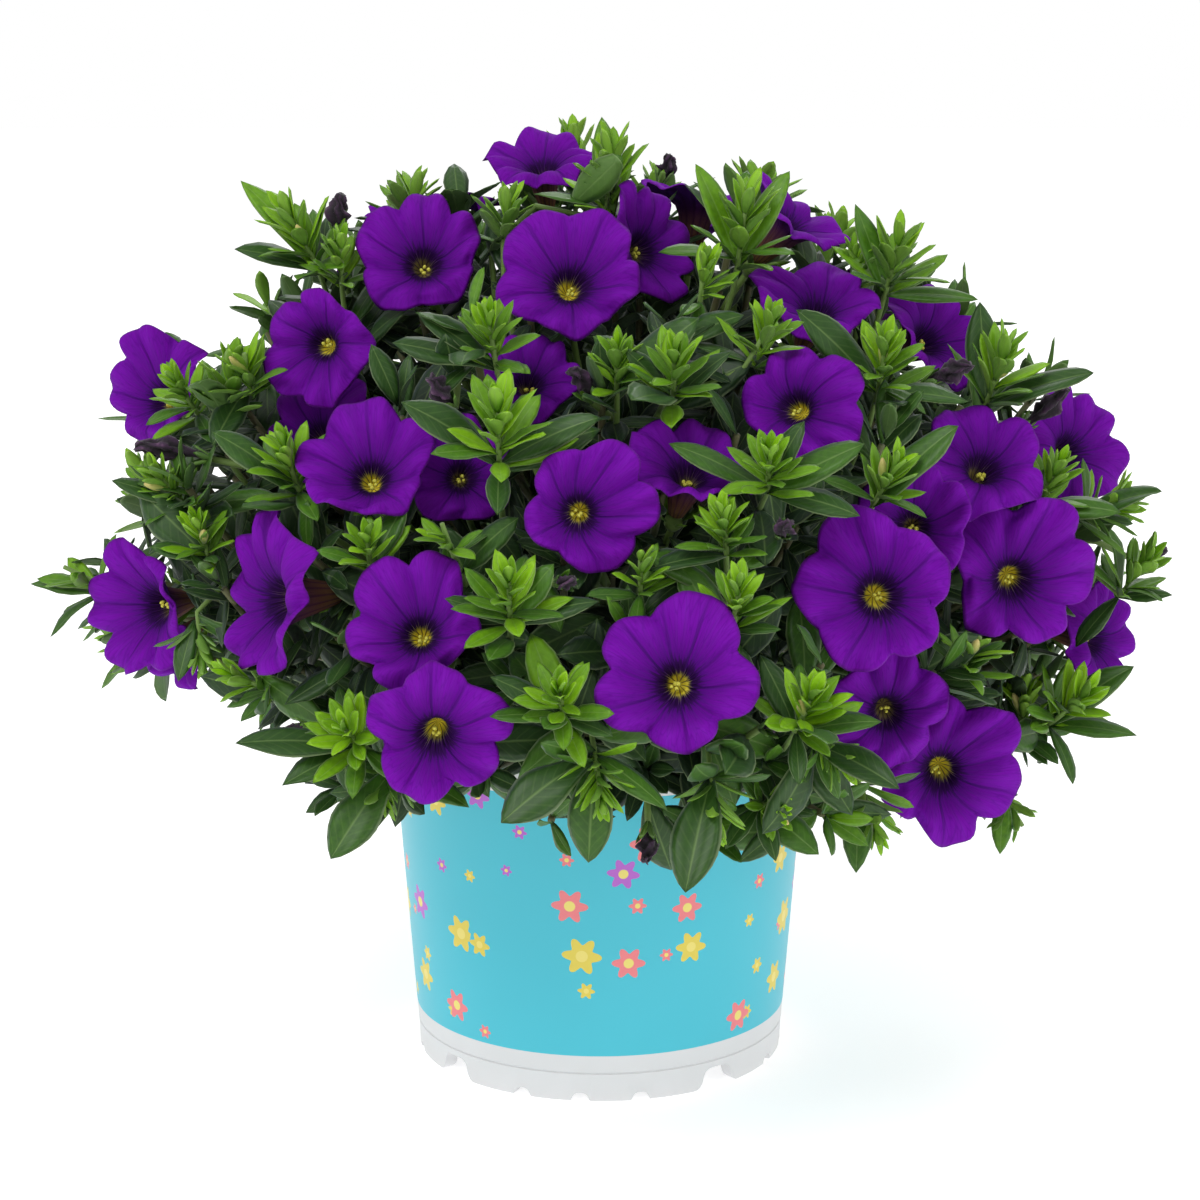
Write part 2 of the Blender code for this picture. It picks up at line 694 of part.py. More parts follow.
def one_body(thing):
    """Keeps an object's largest body: sealed hollows are filled and loose scraps are dropped."""
    bm = bmesh.new()
    bm.from_mesh(thing.data)
    unseen = set(bm.faces)
    bodies = []
    while unseen:
        body, fresh = set(), [unseen.pop()]
        while fresh:
            face = fresh.pop()
            body.add(face)
            for other in {f for edge in face.edges for f in edge.link_faces} & unseen:
                unseen.discard(other)
                fresh.append(other)
        bodies.append(body)
    bodies.sort(key=len)
    for body in bodies[:-1]:
        bmesh.ops.delete(bm, geom=list(body), context="FACES")
    bm.to_mesh(thing.data)
    bm.free()


def turned(profile, sides):
    """A solid of revolution about the pot's axis from (radius, height) pairs, closed on the axis."""
    bm = bmesh.new()
    chain = [(0, profile[0][1])] + list(profile) + [(0, profile[-1][1])]
    verts = [bm.verts.new((radius, 0, height)) for radius, height in chain]
    edges = [bm.edges.new(pair) for pair in zip(verts, verts[1:])]
    bmesh.ops.spin(bm, geom=verts + edges, axis=UP, steps=sides, angle=2 * math.pi, use_merge=True)
    bmesh.ops.remove_doubles(bm, verts=bm.verts, dist=0.001 * MM)
    return bm


def inner_radius(height):
    """The pot's inside radius at a height, between its floor and its rim."""
    share = (height - SLEEVE_FOOT[1]) / (SLEEVE_HEAD[1] - SLEEVE_FOOT[1])
    return SLEEVE_FOOT[0] + share * (SLEEVE_HEAD[0] - SLEEVE_FOOT[0]) - WALL


def foot_cutter(turn, width, height, taper):
    """A bar across the foot ring at one turn about the axis, narrower at its top."""
    out = Vector((math.cos(turn), math.sin(turn), 0))
    across = UP.cross(out)
    rings = []
    for distance in (FOOT_INNER_RADIUS - 6 * MM, BAND_RADIUS + 6 * MM):
        corners = [(-width, -2 * MM), (width, -2 * MM), (width * taper, height), (-width * taper, height)]
        rings.append([out * distance + across * (w / 2) + UP * h for w, h in corners])
    bm = bmesh.new()
    grow_stem(bm, rings)
    return bm


def post(centre, radius, low, high, sides):
    """An upright cutter for a hole."""
    bm = bmesh.new()
    path = [Vector((*centre, low)), Vector((*centre, high))]
    grow_stem(bm, rings_along(path, [radius, radius], sides))
    return bm


def make_pot(finish):
    """The pot with its rolled rim, its foot ring on four broad feet, and its drain holes."""
    profile = (
        (FOOT_INNER_RADIUS, FLOOR_UNDERSIDE),
        (FOOT_INNER_RADIUS, 0),
        (FOOT_RADIUS, 0),
        (BAND_RADIUS, 7.6 * MM),
        SLEEVE_FOOT,
        SLEEVE_HEAD,
        (RIM_RADIUS, SLEEVE_HEAD[1] + 3.4 * MM),
        (RIM_RADIUS, POT_HEIGHT - 0.7 * MM),
        (RIM_RADIUS - 0.7 * MM, POT_HEIGHT),
        (RIM_RADIUS - 2.3 * MM, POT_HEIGHT),
        (inner_radius(FLOOR_TOP), FLOOR_TOP),
    )
    pot = solid_object("pot", turned(profile, POT_SIDES), finish)
    cutters = []
    foot_angle = 2 * math.pi / ARCH_COUNT
    for i in range(ARCH_COUNT):
        middle = -math.pi / 2 + FEET_TURN + i * foot_angle
        cutters.append(foot_cutter(middle + foot_angle / 2, ARCH_WIDTH, ARCH_HEIGHT, 0.72))
        for j in range(NOTCHES_PER_FOOT):
            notch = middle + (j - (NOTCHES_PER_FOOT - 1) / 2) * NOTCH_SPACING
            cutters.append(foot_cutter(notch, NOTCH_WIDTH, NOTCH_HEIGHT, 0.6))
    for i in range(DRAIN_COUNT):
        turn = 2 * math.pi * i / DRAIN_COUNT
        centre = (DRAIN_RING * math.cos(turn), DRAIN_RING * math.sin(turn))
        cutters.append(post(centre, DRAIN_RADIUS, FLOOR_UNDERSIDE - 2 * MM, FLOOR_TOP + 2 * MM, 6))
    return combined(pot, cutters, "DIFFERENCE")


def make_soil(finish, feet):
    """The potting mix, which fills the pot to just under its rim, with a hole for each stem."""
    clear = (1 - math.cos(math.pi / POT_SIDES)) * RIM_RADIUS + GAP
    low = FLOOR_TOP + GAP
    profile = (
        (inner_radius(low) - clear, low),
        (inner_radius(SOIL_TOP - 2 * MM) - clear, SOIL_TOP - 2 * MM),
        (inner_radius(SOIL_TOP) * 0.82, SOIL_TOP),
    )
    soil = solid_object("potting_mix", turned(profile, POT_SIDES // 2), finish)
    holes = [post((foot.x, foot.y), HOLE_RADIUS, STEM_FOOT - GAP, SOIL_TOP + 10 * MM, 6) for foot in feet]
    return combined(soil, holes, "DIFFERENCE")


def spray_foot(direction):
    """Where a leafy stem stands in the potting mix."""
    flat = Vector((direction.x, direction.y, 0))
    nearest, spread = FOOT_RING
    return flat.normalized() * (nearest + spread * flat.length) + UP * STEM_FOOT


def trunk_path(direction):
    """A leafy stem's own path, from the potting mix to where its last branches leave it."""
    foot = spray_foot(direction)
    rise = direction.z * HUB_RISE + HUB_LIFT
    hub = CROWN + Vector((direction.x * HUB_REACH, direction.y * HUB_REACH, rise))
    top = Vector((foot.x, foot.y, SOIL_TOP + 6 * MM))
    return [foot] + bezier(top, top + (hub - top).length * 0.4 * UP, hub, 3)


def point_on(path, share):
    """The point of a path at a share of the way between its second point and its last."""
    reach = share * (len(path) - 2)
    i = min(int(reach), len(path) - 3)
    return path[1 + i].lerp(path[2 + i], reach - i)


def by_nearness(place, directions):
    """The stems, the one whose direction from the crown is nearest the piece's own first."""
    way = (place - CROWN).normalized()
    return sorted(range(len(directions)), key=lambda i: -directions[i].dot(way))


def branch_paths(start, place, way, count):
    """The ways that a branch may take to its end: straight in first, and then bowed to each side."""
    span = (place - start).length
    drawn = place - way * span * BRANCH_SAG
    side = (place - start).cross(way)
    side = side.normalized() if side.length > 1e-6 else UP.cross(way).normalized()
    for bow in BRANCH_BOWS:
        for rise in BRANCH_RISES:
            yield bezier(start, drawn + side * span * bow + UP * span * rise, place, count)


def side_leaf_choices(tip, k):
    """The ways that leaf k of a shoot may lie: by its turn about the shoot, and then bent aside."""
    draw = random.Random(1000 * tip.seed + k)
    share = k / (SIDE_LEAVES + TOP_LEAVES - 1)
    turn = k * GOLDEN_ANGLE + tip.seed * 2.1
    spread = math.radians(76 - 52 * share + draw.uniform(-8, 8))
    length = tip.leaf * (1 - 0.32 * share) * draw.uniform(0.9, 1.08)
    root = tip.place + tip.way * tip.leaf * (0.4 * share - 0.1)
    side = tip.way.orthogonal().normalized()
    bend = math.radians(draw.uniform(12, 34))
    stations = ((0.36, 0.9), (0.7, 0.8)) if k < SIDE_LEAVES // 2 else ((0.5, 1.0),)
    for swing, lift in LEAF_SHIFTS:
        out = Quaternion(tip.way, turn + math.radians(swing)) @ side
        open_angle = max(math.radians(14), spread + math.radians(lift))
        way = tip.way * math.cos(open_angle) + out * math.sin(open_angle)
        face = tip.way * math.sin(open_angle) - out * math.cos(open_angle)
        yield root, way, face, length, length * 0.3, bend, stations


def long_leaf_choices(tip, k):
    """The ways that a long leaf may lie: to the end that shows in the photograph, then nearer or further."""
    end = tip.long_tips[k]
    root = tip.place - tip.way * 2 * MM
    for depth, lift in LONG_LEAF_SHIFTS:
        line = (end - EYE).normalized()
        reach = end + line * depth * MM + UP * lift * MM - root
        way = reach.normalized()
        face = (UP * 0.75 - line * 0.65).normalized()
        raised = (way + face * math.tan(LONG_LEAF_BEND / 2)).normalized()
        width = min(reach.length * 0.34, LONG_LEAF_WIDTH)
        yield root, raised, face, reach.length, width, LONG_LEAF_BEND, ((0.32, 0.85), (0.66, 0.9))


def grow_leaves(room, owner, tip):
    """A shoot's leaves: each takes the first way of lying that is clear, or is left out."""
    choices = [side_leaf_choices(tip, k) for k in range(SIDE_LEAVES + TOP_LEAVES)]
    choices = [long_leaf_choices(tip, k) for k in range(len(tip.long_tips))] + choices
    grown = []
    for ways in choices:
        for shape in ways:
            whole = loose_blade(leaf(*shape, margin=LEAF_MARGIN), 0)
            outer = loose_blade(leaf(*shape, margin=LEAF_SIBLING_MARGIN), 0.6)
            if room.clear(whole, owner=owner) and room.clear(outer, only=owner):
                room.add(owner, outer)
                grown.append(leaf(*shape))
                break
    return grown


def stem_solid(path, radii, sides):
    bm = bmesh.new()
    grow_stem(bm, rings_along(path, radii, sides))
    return bm


class Plant:
    """The leafy stems' own paths, and the branches grown on each so far."""

    def __init__(self):
        self.room = Room()
        self.directions = list(even_directions(SPRAY_COUNT, LOWEST_SPRAY))
        self.trunks = [trunk_path(direction) for direction in self.directions]
        self.radii = tapering(STEM_RADIUS, BRANCH_RADIUS, len(self.trunks[0]))
        self.branches = [[] for _ in self.directions]
        self.started = [0] * SPRAY_COUNT

    def raise_stems(self):
        for i, trunk in enumerate(self.trunks):
            self.room.add(i, stem_solid(trunk, self.radii, STEM_SIDES))

    def grow_branch(self, place, way, radii, more=()):
        """A branch to a place and on through more points, from the nearest stem that it can leave on a clear
        path. It gives the stem's number and the path, or None."""
        for owner in by_nearness(place, self.directions)[:NEAREST_STEMS]:
            start = point_on(self.trunks[owner], 1 - 0.5 * (self.started[owner] * 0.618 % 1))
            for path in branch_paths(start, place, way, len(radii) - 1 - len(more)):
                path = path + list(more)
                if self.has_room(owner, path, radii):
                    self.room.add(owner, stem_solid(path, radii, STEM_SIDES))
                    self.started[owner] += 1
                    return owner, path
        return None

    def has_room(self, owner, path, radii):
        """True if a branch is clear of the other stems, and of its own stem's branches beyond its root."""
        whole = stem_solid(path, [r + BRANCH_MARGIN for r in radii], STEM_SIDES)
        beyond = [path[0].lerp(path[1], 0.4)] + path[1:]
        outer = stem_solid(beyond, [r + SIBLING_MARGIN for r in radii], STEM_SIDES)
        return self.room.clear(whole, owner=owner) and self.room.clear(outer, only=owner)

    def sprays(self, finish):
        """Joins each stem and its branches into one object."""
        for i, trunk in enumerate(self.trunks):
            spray = solid_object(f"spray_{i + 1:02d}", stem_solid(trunk, self.radii, STEM_SIDES), finish)
            if self.branches[i]:
                one_body(combined(spray, self.branches[i], "UNION", "MANIFOLD"))
            yield spray


def calyx_guard(flower):
    """The space that a calyx and its sepals take up."""
    foot = calyx_foot(flower)
    top = foot + flower.way * (CALYX_HEIGHT + SEPAL_HEIGHT)
    return stem_solid([foot, top], [CALYX_RADIUS, SEPAL_REACH], LOBES)


def flower_fits(flower, room, guards):
    """True if a flower and its calyx are clear of the pieces and calyxes placed so far."""
    whole, guard = corolla(flower, FLOWER_MARGIN), calyx_guard(flower)
    return room.clear(whole) and room.clear(guard) and guards.clear(whole) and guards.clear(guard)


def place_flowers(room, finish):
    """Makes each corolla, and gives each flower's final place with its object."""
    placed = []
    guards = Room()
    for first_choice in all_flowers():
        flower = next(f for f in nearer_and_further(first_choice) if flower_fits(f, room, guards))
        name = f"flower_{len(placed) + 1:02d}"
        room.add(name, corolla(flower, FLOWER_KEPT_MARGIN))
        guards.add(name, calyx_guard(flower))
        placed.append((flower, solid_object(name, corolla(flower), finish)))
    return placed


def grow_stalks(plant, flowers):
    """A stalk with its calyx for each flower."""
    radii = tapering(STALK_RADIUS, STALK_RADIUS * 0.9, 3)
    for flower in flowers:
        owner, path = plant.grow_branch(calyx_foot(flower), flower.way, radii)
        solid = stalk(flower, path, radii)
        plant.room.add(owner, solid)
        plant.branches[owner].append(solid)


def grow_shoots(plant, radii):
    """The path of each leafy shoot, with the tip that it ends in and the number of its stem."""
    for first_choice in all_tips():
        for tip in nearer_and_further(first_choice):
            low, middle, top = [tip.place + tip.way * tip.leaf * share for share in (-0.1, 0.12, 0.34)]
            found = plant.grow_branch(low, tip.way, radii, (middle, top))
            if found:
                yield tip, *found
                break


def grow_spent_flowers(plant):
    """Each closed, spent flower on its own stalk."""
    for first_choice in all_faded():
        for faded in nearer_and_further(first_choice):
            more = [faded.place + faded.way * faded.length * share for share in (0.3, 0.75, 1)]
            found = plant.grow_branch(faded.place, faded.way, SPENT_RADII, more)
            if found:
                plant.branches[found[0]].append(stem_solid(found[1], SPENT_RADII, STEM_SIDES))
                break


def settle(thing, parent, origin, smooth_below):
    """Puts an object's origin where the piece is held, and shades its gentle edges smooth."""
    thing.data.transform(Matrix.Translation(-origin))
    thing.location = origin
    thing.parent = parent
    thing.data.shade_smooth()
    thing.data.set_sharp_from_angle(angle=smooth_below)


def main():
    for thing in list(bpy.data.objects):
        bpy.data.objects.remove(thing)
    white = material("pot_white", (0.86, 0.86, 0.87), 0.4)
    earth = material("potting_mix", (0.05, 0.035, 0.025), 0.95)
    green = material("leaf_green", (0.13, 0.28, 0.06), 0.5)
    violet = material("petal_violet", (0.16, 0.02, 0.36), 0.6)
    whole = bpy.data.objects.new("calibrachoa", None)
    bpy.context.scene.collection.objects.link(whole)

    plant = Plant()
    pot = make_pot(white)
    soil = make_soil(earth, [trunk[0] for trunk in plant.trunks])
    for kept in (pot, soil):
        bm = bmesh.new()
        bm.from_mesh(kept.data)
        plant.room.add(kept.name, bm)
    placed = place_flowers(plant.room, violet)
    plant.raise_stems()
    grow_stalks(plant, [flower for flower, _ in placed])
    radii = tapering(BRANCH_RADIUS, STALK_RADIUS, 5)
    shoots = list(grow_shoots(plant, radii))
    grow_spent_flowers(plant)
    for tip, owner, path in shoots:
        blades = grow_leaves(plant.room, owner, tip)
        plant.branches[owner].append(leafy_stem(path, radii, len(path) - 3, blades))

    for spray, trunk in zip(list(plant.sprays(green)), plant.trunks):
        settle(spray, whole, trunk[0], math.radians(50))
    for flower, thing in placed:
        settle(thing, whole, flower.place, math.radians(50))
    settle(pot, whole, Vector(), math.radians(35))
    settle(soil, whole, Vector(), math.radians(35))


main()
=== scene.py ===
import math
import random
from collections import namedtuple
from functools import lru_cache, partial

import bmesh
import bpy
import numpy as np
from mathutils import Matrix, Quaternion, Vector, noise
from mathutils.bvhtree import BVHTree
from mathutils.kdtree import KDTree


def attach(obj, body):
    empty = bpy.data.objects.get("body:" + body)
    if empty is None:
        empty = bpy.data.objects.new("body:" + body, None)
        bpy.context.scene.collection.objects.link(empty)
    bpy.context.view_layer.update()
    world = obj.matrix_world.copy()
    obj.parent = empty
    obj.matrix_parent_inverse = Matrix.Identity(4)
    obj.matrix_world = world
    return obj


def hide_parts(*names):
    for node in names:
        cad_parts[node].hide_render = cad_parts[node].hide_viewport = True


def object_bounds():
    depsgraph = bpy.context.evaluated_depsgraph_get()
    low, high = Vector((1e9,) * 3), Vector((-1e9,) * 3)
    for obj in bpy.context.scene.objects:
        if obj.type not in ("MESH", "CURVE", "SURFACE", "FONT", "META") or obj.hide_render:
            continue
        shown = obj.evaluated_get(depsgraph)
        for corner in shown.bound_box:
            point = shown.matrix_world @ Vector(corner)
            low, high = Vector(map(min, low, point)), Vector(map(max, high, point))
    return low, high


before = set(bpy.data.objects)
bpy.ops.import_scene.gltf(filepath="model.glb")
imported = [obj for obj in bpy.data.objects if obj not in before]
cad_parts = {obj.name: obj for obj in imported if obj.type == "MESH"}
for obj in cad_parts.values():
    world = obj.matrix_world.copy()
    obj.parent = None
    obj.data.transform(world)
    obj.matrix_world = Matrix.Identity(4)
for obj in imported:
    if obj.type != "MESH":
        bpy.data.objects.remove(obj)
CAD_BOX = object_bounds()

bl_info = {
    "name": "Calibrachoa in a pot",
    "version": (1, 0, 0),
    "blender": (4, 5, 0),
    "location": "3D View > Sidebar > Calibrachoa",
    "description": "Dresses a calibrachoa in bloom: its printed pot, potting mix, leafy stems and flowers",
    "category": "Add Mesh",
}

MM = 0.001
GAP = 0.3 * MM
UP = Vector((0, 0, 1))
GOLDEN_ANGLE = math.radians(137.508)
SHARP_CORNER = math.radians(35)

# What tells that a solid has a shape: how near its corners lie, and the least share of them that it has
SAME_PLACE = 0.02 * MM
SAME_SHAPE = 0.6
SAME_BRANCH = 0.5

# The plant's sizes, as its solids have them
POT_HEIGHT = 94 * MM
WALL = 1.3 * MM
FOOT_RADIUS = 48.4 * MM
FOOT_INNER_RADIUS = 45 * MM
BAND_RADIUS = 49.2 * MM
SLEEVE_FOOT = (49.6 * MM, 12.8 * MM)
SLEEVE_HEAD = (55.0 * MM, 83.3 * MM)
RIM_RADIUS = 56.4 * MM
FLOOR_UNDERSIDE = 6.2 * MM
FLOOR_TOP = 7.8 * MM
ARCH_COUNT = 4
ARCH_WIDTH = 13 * MM
ARCH_HEIGHT = 5.9 * MM
NOTCH_WIDTH = 5.4 * MM
NOTCH_HEIGHT = 2.4 * MM
NOTCHES_PER_FOOT = 3
NOTCH_SPACING = math.radians(18.5)
FEET_TURN = math.radians(-6)
DRAIN_COUNT = 5
DRAIN_RADIUS = 3.2 * MM
DRAIN_RING = 31 * MM
SOIL_TOP = 85 * MM
STEM_FOOT = 66 * MM

# The mound that the leaves form, and the photograph's camera as it was fitted to the pot
MOUND_CENTRE = Vector((0, 0, 120 * MM))
MOUND_REACH = Vector((148 * MM, 134 * MM, 126 * MM))
MOUND_UNDER = 72 * MM
EYE = Vector((0, -850 * MM, 315 * MM))
EYE_DIP = math.radians(12.8)
FORWARD = Vector((0, math.cos(EYE_DIP), -math.sin(EYE_DIP)))
UPWARD = Vector((0, math.sin(EYE_DIP), math.cos(EYE_DIP)))
SIDEWAYS = Vector((1, 0, 0))
FOCAL_PIXELS = 3296
FRAME_CENTRE_PIXEL = 600

# The stems, their branches and the leaves that the solids have
CROWN = Vector((0, 0, 100 * MM))
SPRAY_COUNT = 16
LOWEST_SPRAY = -0.12
FOOT_RING = (6 * MM, 30 * MM)
HUB_REACH = 62 * MM
HUB_RISE = 52 * MM
HUB_LIFT = 10 * MM
STEM_SIDES = 4
STEM_RADIUS = 1.7 * MM
BRANCH_RADIUS = 1.2 * MM
STALK_RADIUS = 0.9 * MM
SPENT_RADII = (STALK_RADIUS, STALK_RADIUS, 0.8 * MM, 1.7 * MM, 2.4 * MM, 1.1 * MM)
NEAREST_STEMS = 5
BRANCH_SAG = 0.35
BRANCH_BOWS = (0, 0.15, -0.15, 0.3, -0.3, 0.5, -0.5, 0.7, -0.7)
BRANCH_RISES = (0, 0.2, -0.2, 0.4, 0.6)

SIDE_LEAVES = 4
TOP_LEAVES = 2
LEAF_SHIFTS = ((0, 0), (22, -8), (-22, -8), (0, -22), (40, -14), (-40, -14), (0, 16), (70, -10))
LONG_LEAF_SHIFTS = ((0, 0), (-6, 0), (6, 0), (-12, 2), (12, -2), (-18, 4), (18, -4))
LONG_LEAF_BEND = math.radians(26)
LONG_LEAF_WIDTH = 9.5 * MM
LONG_LEAF_NEARER = 4 * MM
BLADE_THICKNESS = 0.8 * MM
EDGE_RAISE = 0.15

# The open flowers
LOBES = 5
TUBE_LENGTH = 0.58
TUBE_FOOT_RADIUS = 1.5 * MM
FUNNEL_FLOOR = 0.72
CALYX_HEIGHT = 3.4 * MM
SEPAL_REACH = 6 * MM
SEPAL_HEIGHT = 6.5 * MM

# The shares of its length and width that a leaf of the solids may keep beside an open flower
LEAF_FITS = ((1, 1), (1, 0.8), (0.88, 0.8), (0.75, 0.75), (0.6, 0.7), (0.45, 0.6))

# What the scene adds to the branches and leaves that the solids have
HIDING_DEPTH = 70 * MM
BOX_EASE = 3 * MM
POT_EASE = (2 * MM, 3 * MM)
BROAD_LEAF = (24 * MM, 8 * MM)
STEM_LEAF_LENGTHS = (16 * MM, 26 * MM)
BARE_TRUNK = 0.55
BARE_BRANCH = 0.3
BARE_FILLER = 0.4
INNER_LEAVES = 17
FEWEST_LEAVES = 4
HIGH_SHOOT = 190 * MM
HANGING = -0.25
BUD_SHARE = 0.25
FILLER_SHOOTS = 170
FILLER_LOWEST = -0.6
FILLER_REACH = (0.7, 0.88)
FILLER_LEAVES = 10
LEAF_SPACING = 6.5 * MM

# The fine parts of open and spent flowers
ANTHERS = 4
CRUMPLE_SHIFTS = (Vector((9.3, -1.5, -8.0)), Vector((0, 0, 0)), Vector((6.3, 0.2, -2.7)))
THROAT_LINES = 10
TUBE_RIBS = 15

# The pot's shape between the sizes above. A flare is how much wider a cut is at the foot's lower edge
POT_TURNS = 144
RIM_ROLL = 1.5 * MM
BAND_FOOT = 7.6 * MM
BAND_GROOVE = (7.9 * MM, 0.3 * MM)
CUTTER_CORNERS = 10
FLARE_CORNERS = 6
ARCH_ROUNDING = 0.55
ARCH_FLARE = 3.5 * MM
NOTCH_ROUNDING = 0.9
NOTCH_FLARE = 0.9 * MM

# The printed sleeve's motifs: distance apart, largest radius and share shown, for each of two layers
MOTIF_WALL_RADIUS = 52 * MM
MOTIF_PETALS = 6
MOTIF_SIZES = ((13 * MM, 2.4 * MM, 0.4), (17 * MM, 5.4 * MM, 0.75))
MOTIF_COLOURS = ((0, "#F4858B"), (0.36, "#E9D456"), (0.68, "#BE68D2"))

# The lights: place, size and share of the main light's power
LIGHTS = {
    "key": ((-0.7, -1.1, 1.5), 0.9, 1),
    "side": ((1.3, -0.7, 0.7), 0.9, 0.3),
    "back": ((0.2, 1.2, 1.1), 0.8, 0.4),
}
LIT_POINT = Vector((0, 0, 130 * MM))
FLOOR_SIZE = 3
SENSOR_WIDTH = 36

# The first seeds of the random draws, and the first numbers of the shoots
FAR_BLOOM_SEED = 300
FAR_SHOOT_SEED = 500
FILLER_SEED = 700
COROLLA_SEED = 40
ANTHER_SEED = 940
STEM_SEED = 11
FAR_SHOOT_NUMBER = 100
FRONT_SHOOT_NUMBER = 300
FILLER_NUMBER = 400

# across and down are where a piece shows in the photograph's 1200 pixel frame. A flower turns to the right
# and tilts up from the viewer, in degrees. A shoot leans to the right of upright and toward the viewer, in
# degrees. Widths, leaf lengths and how far a piece is sunk in the mound are in millimetres.
Bloom = namedtuple("Bloom", "across down turn tilt width sunk")
Shoot = namedtuple("Shoot", "across down lean toward leaf sunk long_tips", defaults=((),))
Spent = namedtuple("Spent", "across down lean toward length sunk")

BLOOMS = [Bloom(*row) for row in (
    (541, 152, -17, 70, 30, 2),
    (418, 246, -5, 35, 35, 2),
    (569, 268, 0, 34, 37, 0),
    (655, 240, 48, 18, 34, 12),
    (800, 208, 70, 51, 33, 6),
    (812, 292, 12, 58, 33, 3),
    (938, 328, 45, 32, 32, 8),
    (803, 398, -12, 25, 32, 0),
    (312, 347, -20, 8, 30, 0),
    (150, 385, -38, 18, 33, 0),
    (364, 458, -8, 40, 34, 0),
    (313, 425, -25, 32, 33, 17),
    (462, 470, 5, 20, 28, 14),
    (590, 506, 6, 10, 32, 2),
    (692, 458, 22, 58, 33, 8),
    (982, 456, 10, 45, 34, 1),
    (1080, 441, 38, 25, 33, 4),
    (255, 594, -58, 6, 42, 0),
    (132, 610, -42, 2, 36, 2),
    (162, 652, -40, -22, 28, 17),
    (408, 618, -14, 30, 34, 0),
    (437, 735, -2, -6, 35, 1),
    (675, 673, 0, 18, 38, 0),
    (874, 590, 0, 12, 40, 0),
    (1028, 573, 10, 9, 39, 0),
    (1112, 634, 55, 4, 34, 8),
    (890, 712, 4, -2, 33, 14),
    (957, 771, 12, 4, 38, 0),
    (914, 520, -4, 18, 30, 12),
    (528, 372, 0, 42, 28, 16),
)]

SHOOTS = [Shoot(*row) for row in (
    (612, 213, 0, 8, 21, 4, ((674, 132), (602, 106))),
    (316, 264, -25, 15, 20, 2, ((234, 247), (242, 177))),
    (195, 410, -25, 30, 15, 0),
    (226, 410, 10, 10, 17, 3, ((262, 400),)),
    (183, 503, -35, 20, 15, 0, ((112, 478), (283, 498))),
    (297, 486, -12, 25, 17, 4, ((214, 428),)),
    (739, 258, 6, 15, 21, 2, ((700, 162), (788, 168))),
    (494, 360, -5, 30, 17, 1, ((421, 312),)),
    (499, 458, 0, 32, 22, 0, ((403, 398), (599, 414))),
    (673, 396, 2, 30, 18, 2, ((628, 346), (729, 348))),
    (757, 360, 18, 20, 16, 2),
    (768, 486, 0, 38, 16, 0, ((670, 440), (800, 420), (861, 516))),
    (887, 288, 12, 15, 21, 1, ((859, 203), (979, 299))),
    (879, 386, 5, 28, 18, 1, ((800, 306), (969, 401))),
    (988, 400, 14, 18, 20, 2, ((981, 302), (1094, 370))),
    (876, 500, 22, 28, 16, 3, ((955, 422),)),
    (1040, 500, 22, 18, 15, 4, ((1122, 512),)),
    (1086, 516, 62, 20, 17, 2, ((1157, 493), (1134, 524))),
    (97, 590, -48, 20, 17, 0, ((29, 576), (172, 538))),
    (208, 555, -10, 30, 14, 3, ((150, 545),)),
    (360, 745, -22, 55, 18, 2, ((234, 742), (281, 786))),
    (510, 618, 0, 35, 18, 2, ((446, 596), (599, 599))),
    (563, 714, -5, 50, 17, 2, ((464, 715), (647, 748), (492, 674))),
    (734, 624, 5, 30, 16, 3, ((781, 628),)),
    (726, 548, -5, 25, 14, 5, ((644, 570),)),
    (798, 728, 14, 42, 19, 2, ((882, 720), (799, 786), (764, 654))),
    (1053, 722, 35, 35, 20, 1, ((1138, 735), (1132, 663))),
    (1122, 592, 30, 18, 17, 1, ((1173, 594), (1075, 648))),
    (763, 806, 70, 62, 11, 3, ((776, 862), (816, 815), (725, 850))),
    (862, 790, 160, 30, 15, 6, ((856, 874), (888, 862))),
    (390, 776, -150, 20, 12, 4, ((330, 860), (470, 808))),
    (596, 762, 170, 45, 14, 4, ((500, 824), (668, 811), (588, 864))),
    (712, 786, 175, 30, 14, 4, ((685, 894), (762, 768))),
    (820, 748, 120, 30, 12, 6, ((900, 789), (840, 800))),
    (270, 690, -60, 25, 15, 10, ((240, 722),)),
    (196, 628, 170, 15, 12, 8, ((178, 682),)),
    (252, 390, -8, 20, 16, 2),
    (412, 218, 0, -15, 15, 8),
    (1022, 732, 0, 15, 16, 6, ((1048, 765),)),
)]

SPENT = [Spent(*row) for row in (
    (337, 240, 8, 10, 12, 3),
    (212, 459, -78, 15, 19, 2),
    (455, 408, -32, 35, 12, 8),
    (592, 402, -30, 30, 11, 10),
    (922, 384, 62, 25, 14, 6),
    (1018, 430, 42, 20, 17, 8),
    (778, 536, 25, 55, 9, 6),
    (556, 584, 60, 50, 8, 8),
    (1138, 562, 60, 10, 8, 4),
    (648, 822, -175, 40, 10, 5),
    (760, 728, 70, 50, 8, 8),
    (312, 728, -80, 40, 8, 6),
    (660, 186, 15, 10, 9, 22),
)]

# How far behind or before its place a piece is moved to keep it clear of the others, in millimetres
DEPTHS_TRIED = (0, 3, -3, 6, -6, 9, -9, 12, -12, 15, 18)

# The side that the photograph doesn't show. Its blooms and shoots are the first ones that lie on that side
# among so many spread evenly over the dome by the golden angle, down to a lowest height, from a first turn
FAR_BLOOMS = 11
FAR_BLOOM_SPREAD = (30, -0.25, 0.4)
FAR_SHOOTS = 27
FAR_SHOOT_SPREAD = (62, -0.4, 1.9)
FAR_BLOOM_WIDTHS = (31, 38)
FAR_LEAF_LENGTHS = (15, 21)
FAR_SHOOT_SUNK = 5
FAR_REACH = Vector((138 * MM, 138 * MM, 112 * MM))
FAR_EDGE = 0.04
FAR_SLOPE = 0.2


